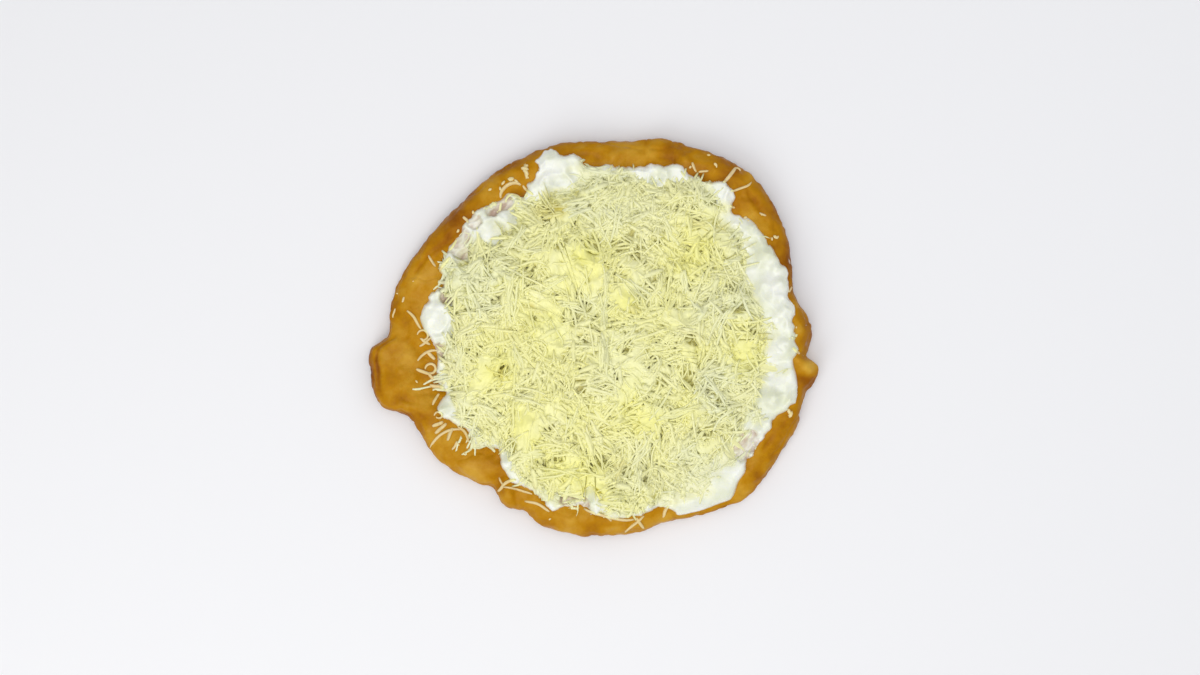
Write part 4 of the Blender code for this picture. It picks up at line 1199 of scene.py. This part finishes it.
def makeWhiskers(material):
    # each arc's length is its chord times half its turn over the sine of half its turn; a ring is a long arc
    s = strayShred
    draw = np.random.default_rng(shredding["seed"] + 1)
    start, end, turn, size = (np.array(part) for part in zip(*(
        ((a, b), (c, d), turned, (wide, thick)) for a, b, c, d, turned, wide, thick in whiskers
    )))
    chord = (end - start) / 1000
    bow = np.sinc(turn / fullTurn)
    arcs = {
        "middle": (start + end) / 2000, "length": np.hypot(chord[:, 0], chord[:, 1]) / bow,
        "heading": np.arctan2(chord[:, 1], chord[:, 0]), "turn": turn, "size": size / 1000,
    }
    middle, radius, wide = (np.array(part) for part in zip(*(((a, b), r, w) for a, b, r, w in rings)))
    loops = {
        "middle": middle / 1000, "length": fullTurn * radius / 1000,
        "heading": 0 * radius + s["ringHeading"], "turn": 0 * radius + fullTurn * s["ringTurn"],
        "size": np.stack([wide, 0 * wide + s["ringThickness"]], 1) / 1000,
    }
    p = {key: np.concatenate([arcs[key], loops[key]]) for key in arcs}
    places = (*p["middle"].T, p["length"], p["heading"], p["turn"], *p["size"].T)
    batch = dropShreds(s, draw, places)
    batch["z"] = batch["z"] + s["raised"]
    batch["width"] = np.minimum(batch["width"] * s["widening"], s["widest"])
    mesh = shredMesh("stray_shreds", [batch], s["taper"])
    x, y = spotsOf(mesh).T[:2]
    covered = fade(creamTop(x, y) - breadSurface(x, y), 0, s["creamFade"])
    paint(mesh, "bareness", s["bareness"] * (1 - covered))
    for name in ("creaminess", "paintedShade"):
        paint(mesh, name, np.zeros(len(x)))
    addPiece(mesh, material, "grated_cheese")


# size is in metres for a size of 1 above; reach is half a crumb's length, width and height, and seat how high
# its middle is, all times its size; turn is the angle from one crumb to the next
crumbShape = {
    "size": 0.00074, "reach": (1.45, 0.80, 0.62), "turn": 2.4, "seat": 0.42, "rows": 5, "turns": 7,
    "bumps": 0.55, "bumpSize": 0.9, "bumpShift": 0.8, "seed": 77,
    "paint": (("richness", 0.2), ("creaminess", 0.0), ("paintedShade", 0.0), ("bareness", 0.5)),
}


def makeCrumbs(material):
    # each crumb is a flattened ball of rings, turned its own way, whose radius is 1 plus a share of smooth
    # noise; a fan of triangles closes it above and below
    k = crumbShape
    x, y = np.array(crumbs)[:, :2].T / 1000
    size = (np.array(crumbs)[:, 2] * k["size"])[:, None, None, None]
    count, rows, turns = len(crumbs), k["rows"], k["turns"]
    tilt = np.linspace(0, math.pi, rows + 2)[1:-1][None, :, None]
    around = directions(turns)[None, None, :]
    way = np.stack(np.broadcast_arrays(*fromMiddle(np.sin(tilt), around), np.cos(tilt)), -1)
    seat = np.stack([x, y, groundAt("base", x, y)], -1)[:, None, None]
    shifted = np.moveaxis(way * k["bumpShift"] + seat * 1000, -1, 0)
    bumpy = 1 + k["bumps"] * smoothNoise(*shifted, k["bumpSize"], k["seed"])
    along, across, up = (way[..., axis] * k["reach"][axis] for axis in range(3))
    heading = (np.arange(count) * k["turn"])[:, None, None]
    c, s = np.cos(heading), np.sin(heading)
    turned = np.stack([along * c - across * s, along * s + across * c, up + 0 * bumpy], -1)
    shapes = seat + turned * (size * bumpy[..., None]) + np.array([0, 0, k["seat"]]) * size
    first = np.arange(count)[:, None] * rows * turns
    ring = np.arange(turns)
    tips = count * rows * turns + np.arange(count)[:, None]
    top = np.stack(np.broadcast_arrays(tips, first + ring, first + (ring + 1) % turns), -1).reshape(-1, 3)
    low = first + (rows - 1) * turns
    base = np.stack(np.broadcast_arrays(tips + count, low + (ring + 1) % turns, low + ring), -1)
    fans = np.concatenate([top, base.reshape(-1, 3)])
    vertices = np.concatenate([shapes.reshape(-1, 3), shapes[:, 0].mean(1), shapes[:, -1].mean(1)])
    mesh = meshFrom("crumbs", vertices, ringQuads(count, rows, turns), fans)
    for name, value in k["paint"]:
        paint(mesh, name, np.full(len(mesh.vertices), value))
    addPiece(mesh, material, "grated_cheese")


def dropBundles(draw):
    # the shreds of a bundle lie side by side, each a little off its place and way, and a share of its length
    kind, s = shredKinds["long_shreds"], shredding
    places = []
    for x, y, direction, count, spread, length in s["bundles"]:
        way = math.radians(direction)
        across, along = draw.normal(0, spread / 2, count), draw.normal(0, spread, count)
        places.append(np.stack([
            (x + along * math.cos(way) - across * math.sin(way)) / 1000,
            (y + along * math.sin(way) + across * math.cos(way)) / 1000,
            length * draw.uniform(*s["bundleLength"], count) / 1000,
            way + draw.normal(0, s["bundleStray"], count),
            draw.normal(0, s["bundleCurl"], count),
            draw.uniform(*s["bundleWidth"], count),
            draw.uniform(*kind["thickness"], count),
        ]))
    batch = dropShreds(kind, draw, np.concatenate(places, 1))
    batch["milk"] = batch["milk"] + s["bundleMilk"]
    return batch


def makeShreds(material):
    # each round drops some of every kind, so that the kinds lie mixed; the bundles come last
    draw = np.random.default_rng(shredding["seed"])
    ground["height"] = np.maximum(coreHeight(ground["x"], ground["y"]), ground["base"] - shredding["sunk"])
    batches = {name: [] for name in shredKinds}
    for _ in range(shredding["rounds"]):
        for name, kind in shredKinds.items():
            places = drawnPlaces(kind, kind["count"] // shredding["rounds"], draw)
            batches[name].append(dropShreds(kind, draw, places))
    batches["long_shreds"].append(dropBundles(draw))
    for name, laid in batches.items():
        addPiece(shredMesh(name, laid), material, "grated_cheese")


def cheeseFinish():
    # pale to rich, then creamy, then the painted shade of gaps and hollows, then the colour that thin shreds
    # take from the crust
    s = shredding
    r = Recipe("grated cheese")
    colour = r.mixed(r.attribute("richness"), s["pale"], s["rich"])
    colour = r.mixed(r.attribute("creaminess"), colour, s["creamy"])
    colour = r.mixed(r.attribute("paintedShade"), colour, s["paintedShade"])
    colour = r.mixed(r.attribute("bareness"), colour, s["bare"])
    r.fill(r.surface, {
        "Base Color": colour,
        "Roughness": 0.45,
        "Normal": r.bump(r.noise(s["grainSize"], 2), s["bump"]),
    })
    return r.material


# Floor, light and camera

studio = {
    "floorColour": (0.92, 0.92, 0.93), "floorSize": 8.0,
    "pixel": 0.0005,  # the photograph's scale at the bread, metres a pixel
    "imageWidth": 1200, "viewHeight": 0.90, "aim": (0.003, 0.0, 0.012), "sensor": 36,
    "world": (0.95, 0.96, 1.0), "worldStrength": 0.43,
    # name, place, size, watts, colour
    "lights": (
        ("key", (-0.55, -0.95, 1.05), 0.9, 7.0, (1.0, 0.985, 0.96)),
        ("fill", (0.75, 0.35, 1.25), 1.2, 3.0, (0.96, 0.98, 1.0)),
        ("overhead", (-0.06, -0.10, 1.75), 1.2, 9.5, (1.0, 1.0, 1.0)),
    ),
}


def makeStudio():
    # a white floor, a pale sky and square lamps that face the aim; the lens is the sensor times the height
    # over the picture's width in metres
    s = studio
    r = Recipe("floor")
    r.fill(r.surface, {"Base Color": s["floorColour"], "Roughness": 0.6})
    half = s["floorSize"] / 2
    corners = np.array([(-half, -half, 0), (half, -half, 0), (half, half, 0), (-half, half, 0)])
    mesh = meshFrom("floor", corners, np.array([[0, 1, 2, 3]]), noTriangles, smooth=False)
    mesh.materials.append(r.material)
    floor = bpy.data.objects.new("floor", mesh)
    bpy.context.scene.collection.objects.link(floor)
    world = bpy.data.worlds.new("studio")
    world.use_nodes = True
    sky = world.node_tree.nodes["Background"].inputs
    sky["Color"].default_value = (*s["world"], 1)
    sky["Strength"].default_value = s["worldStrength"]
    bpy.context.scene.world = world
    aim = Vector(s["aim"])
    for name, place, size, watts, colour in s["lights"]:
        lamp = bpy.data.lights.new(name, "AREA")
        lamp.size, lamp.energy, lamp.color = size, watts, colour
        holder = bpy.data.objects.new(name, lamp)
        holder.location = place
        holder.rotation_euler = (aim - Vector(place)).to_track_quat("-Z", "Y").to_euler()
        bpy.context.scene.collection.objects.link(holder)
    lens = bpy.data.cameras.new("camera")
    lens.sensor_width = s["sensor"]
    lens.lens = s["sensor"] * s["viewHeight"] / (s["imageWidth"] * s["pixel"])
    camera = bpy.data.objects.new("camera", lens)
    camera.location = aim + Vector((0, 0, s["viewHeight"]))
    bpy.context.scene.collection.objects.link(camera)
    bpy.context.scene.camera = camera
    bpy.context.scene.view_settings.view_transform = "Standard"


makeBread(breadFinish())
print("bread made")
makeMaps()
makeCream(creamFinish())
print("cream made")
cheese = cheeseFinish()
makeCore(cheese)
makeShreds(cheese)
makeWhiskers(cheese)
makeCrumbs(cheese)
print("cheese made")
makeStudio()
print("studio made")
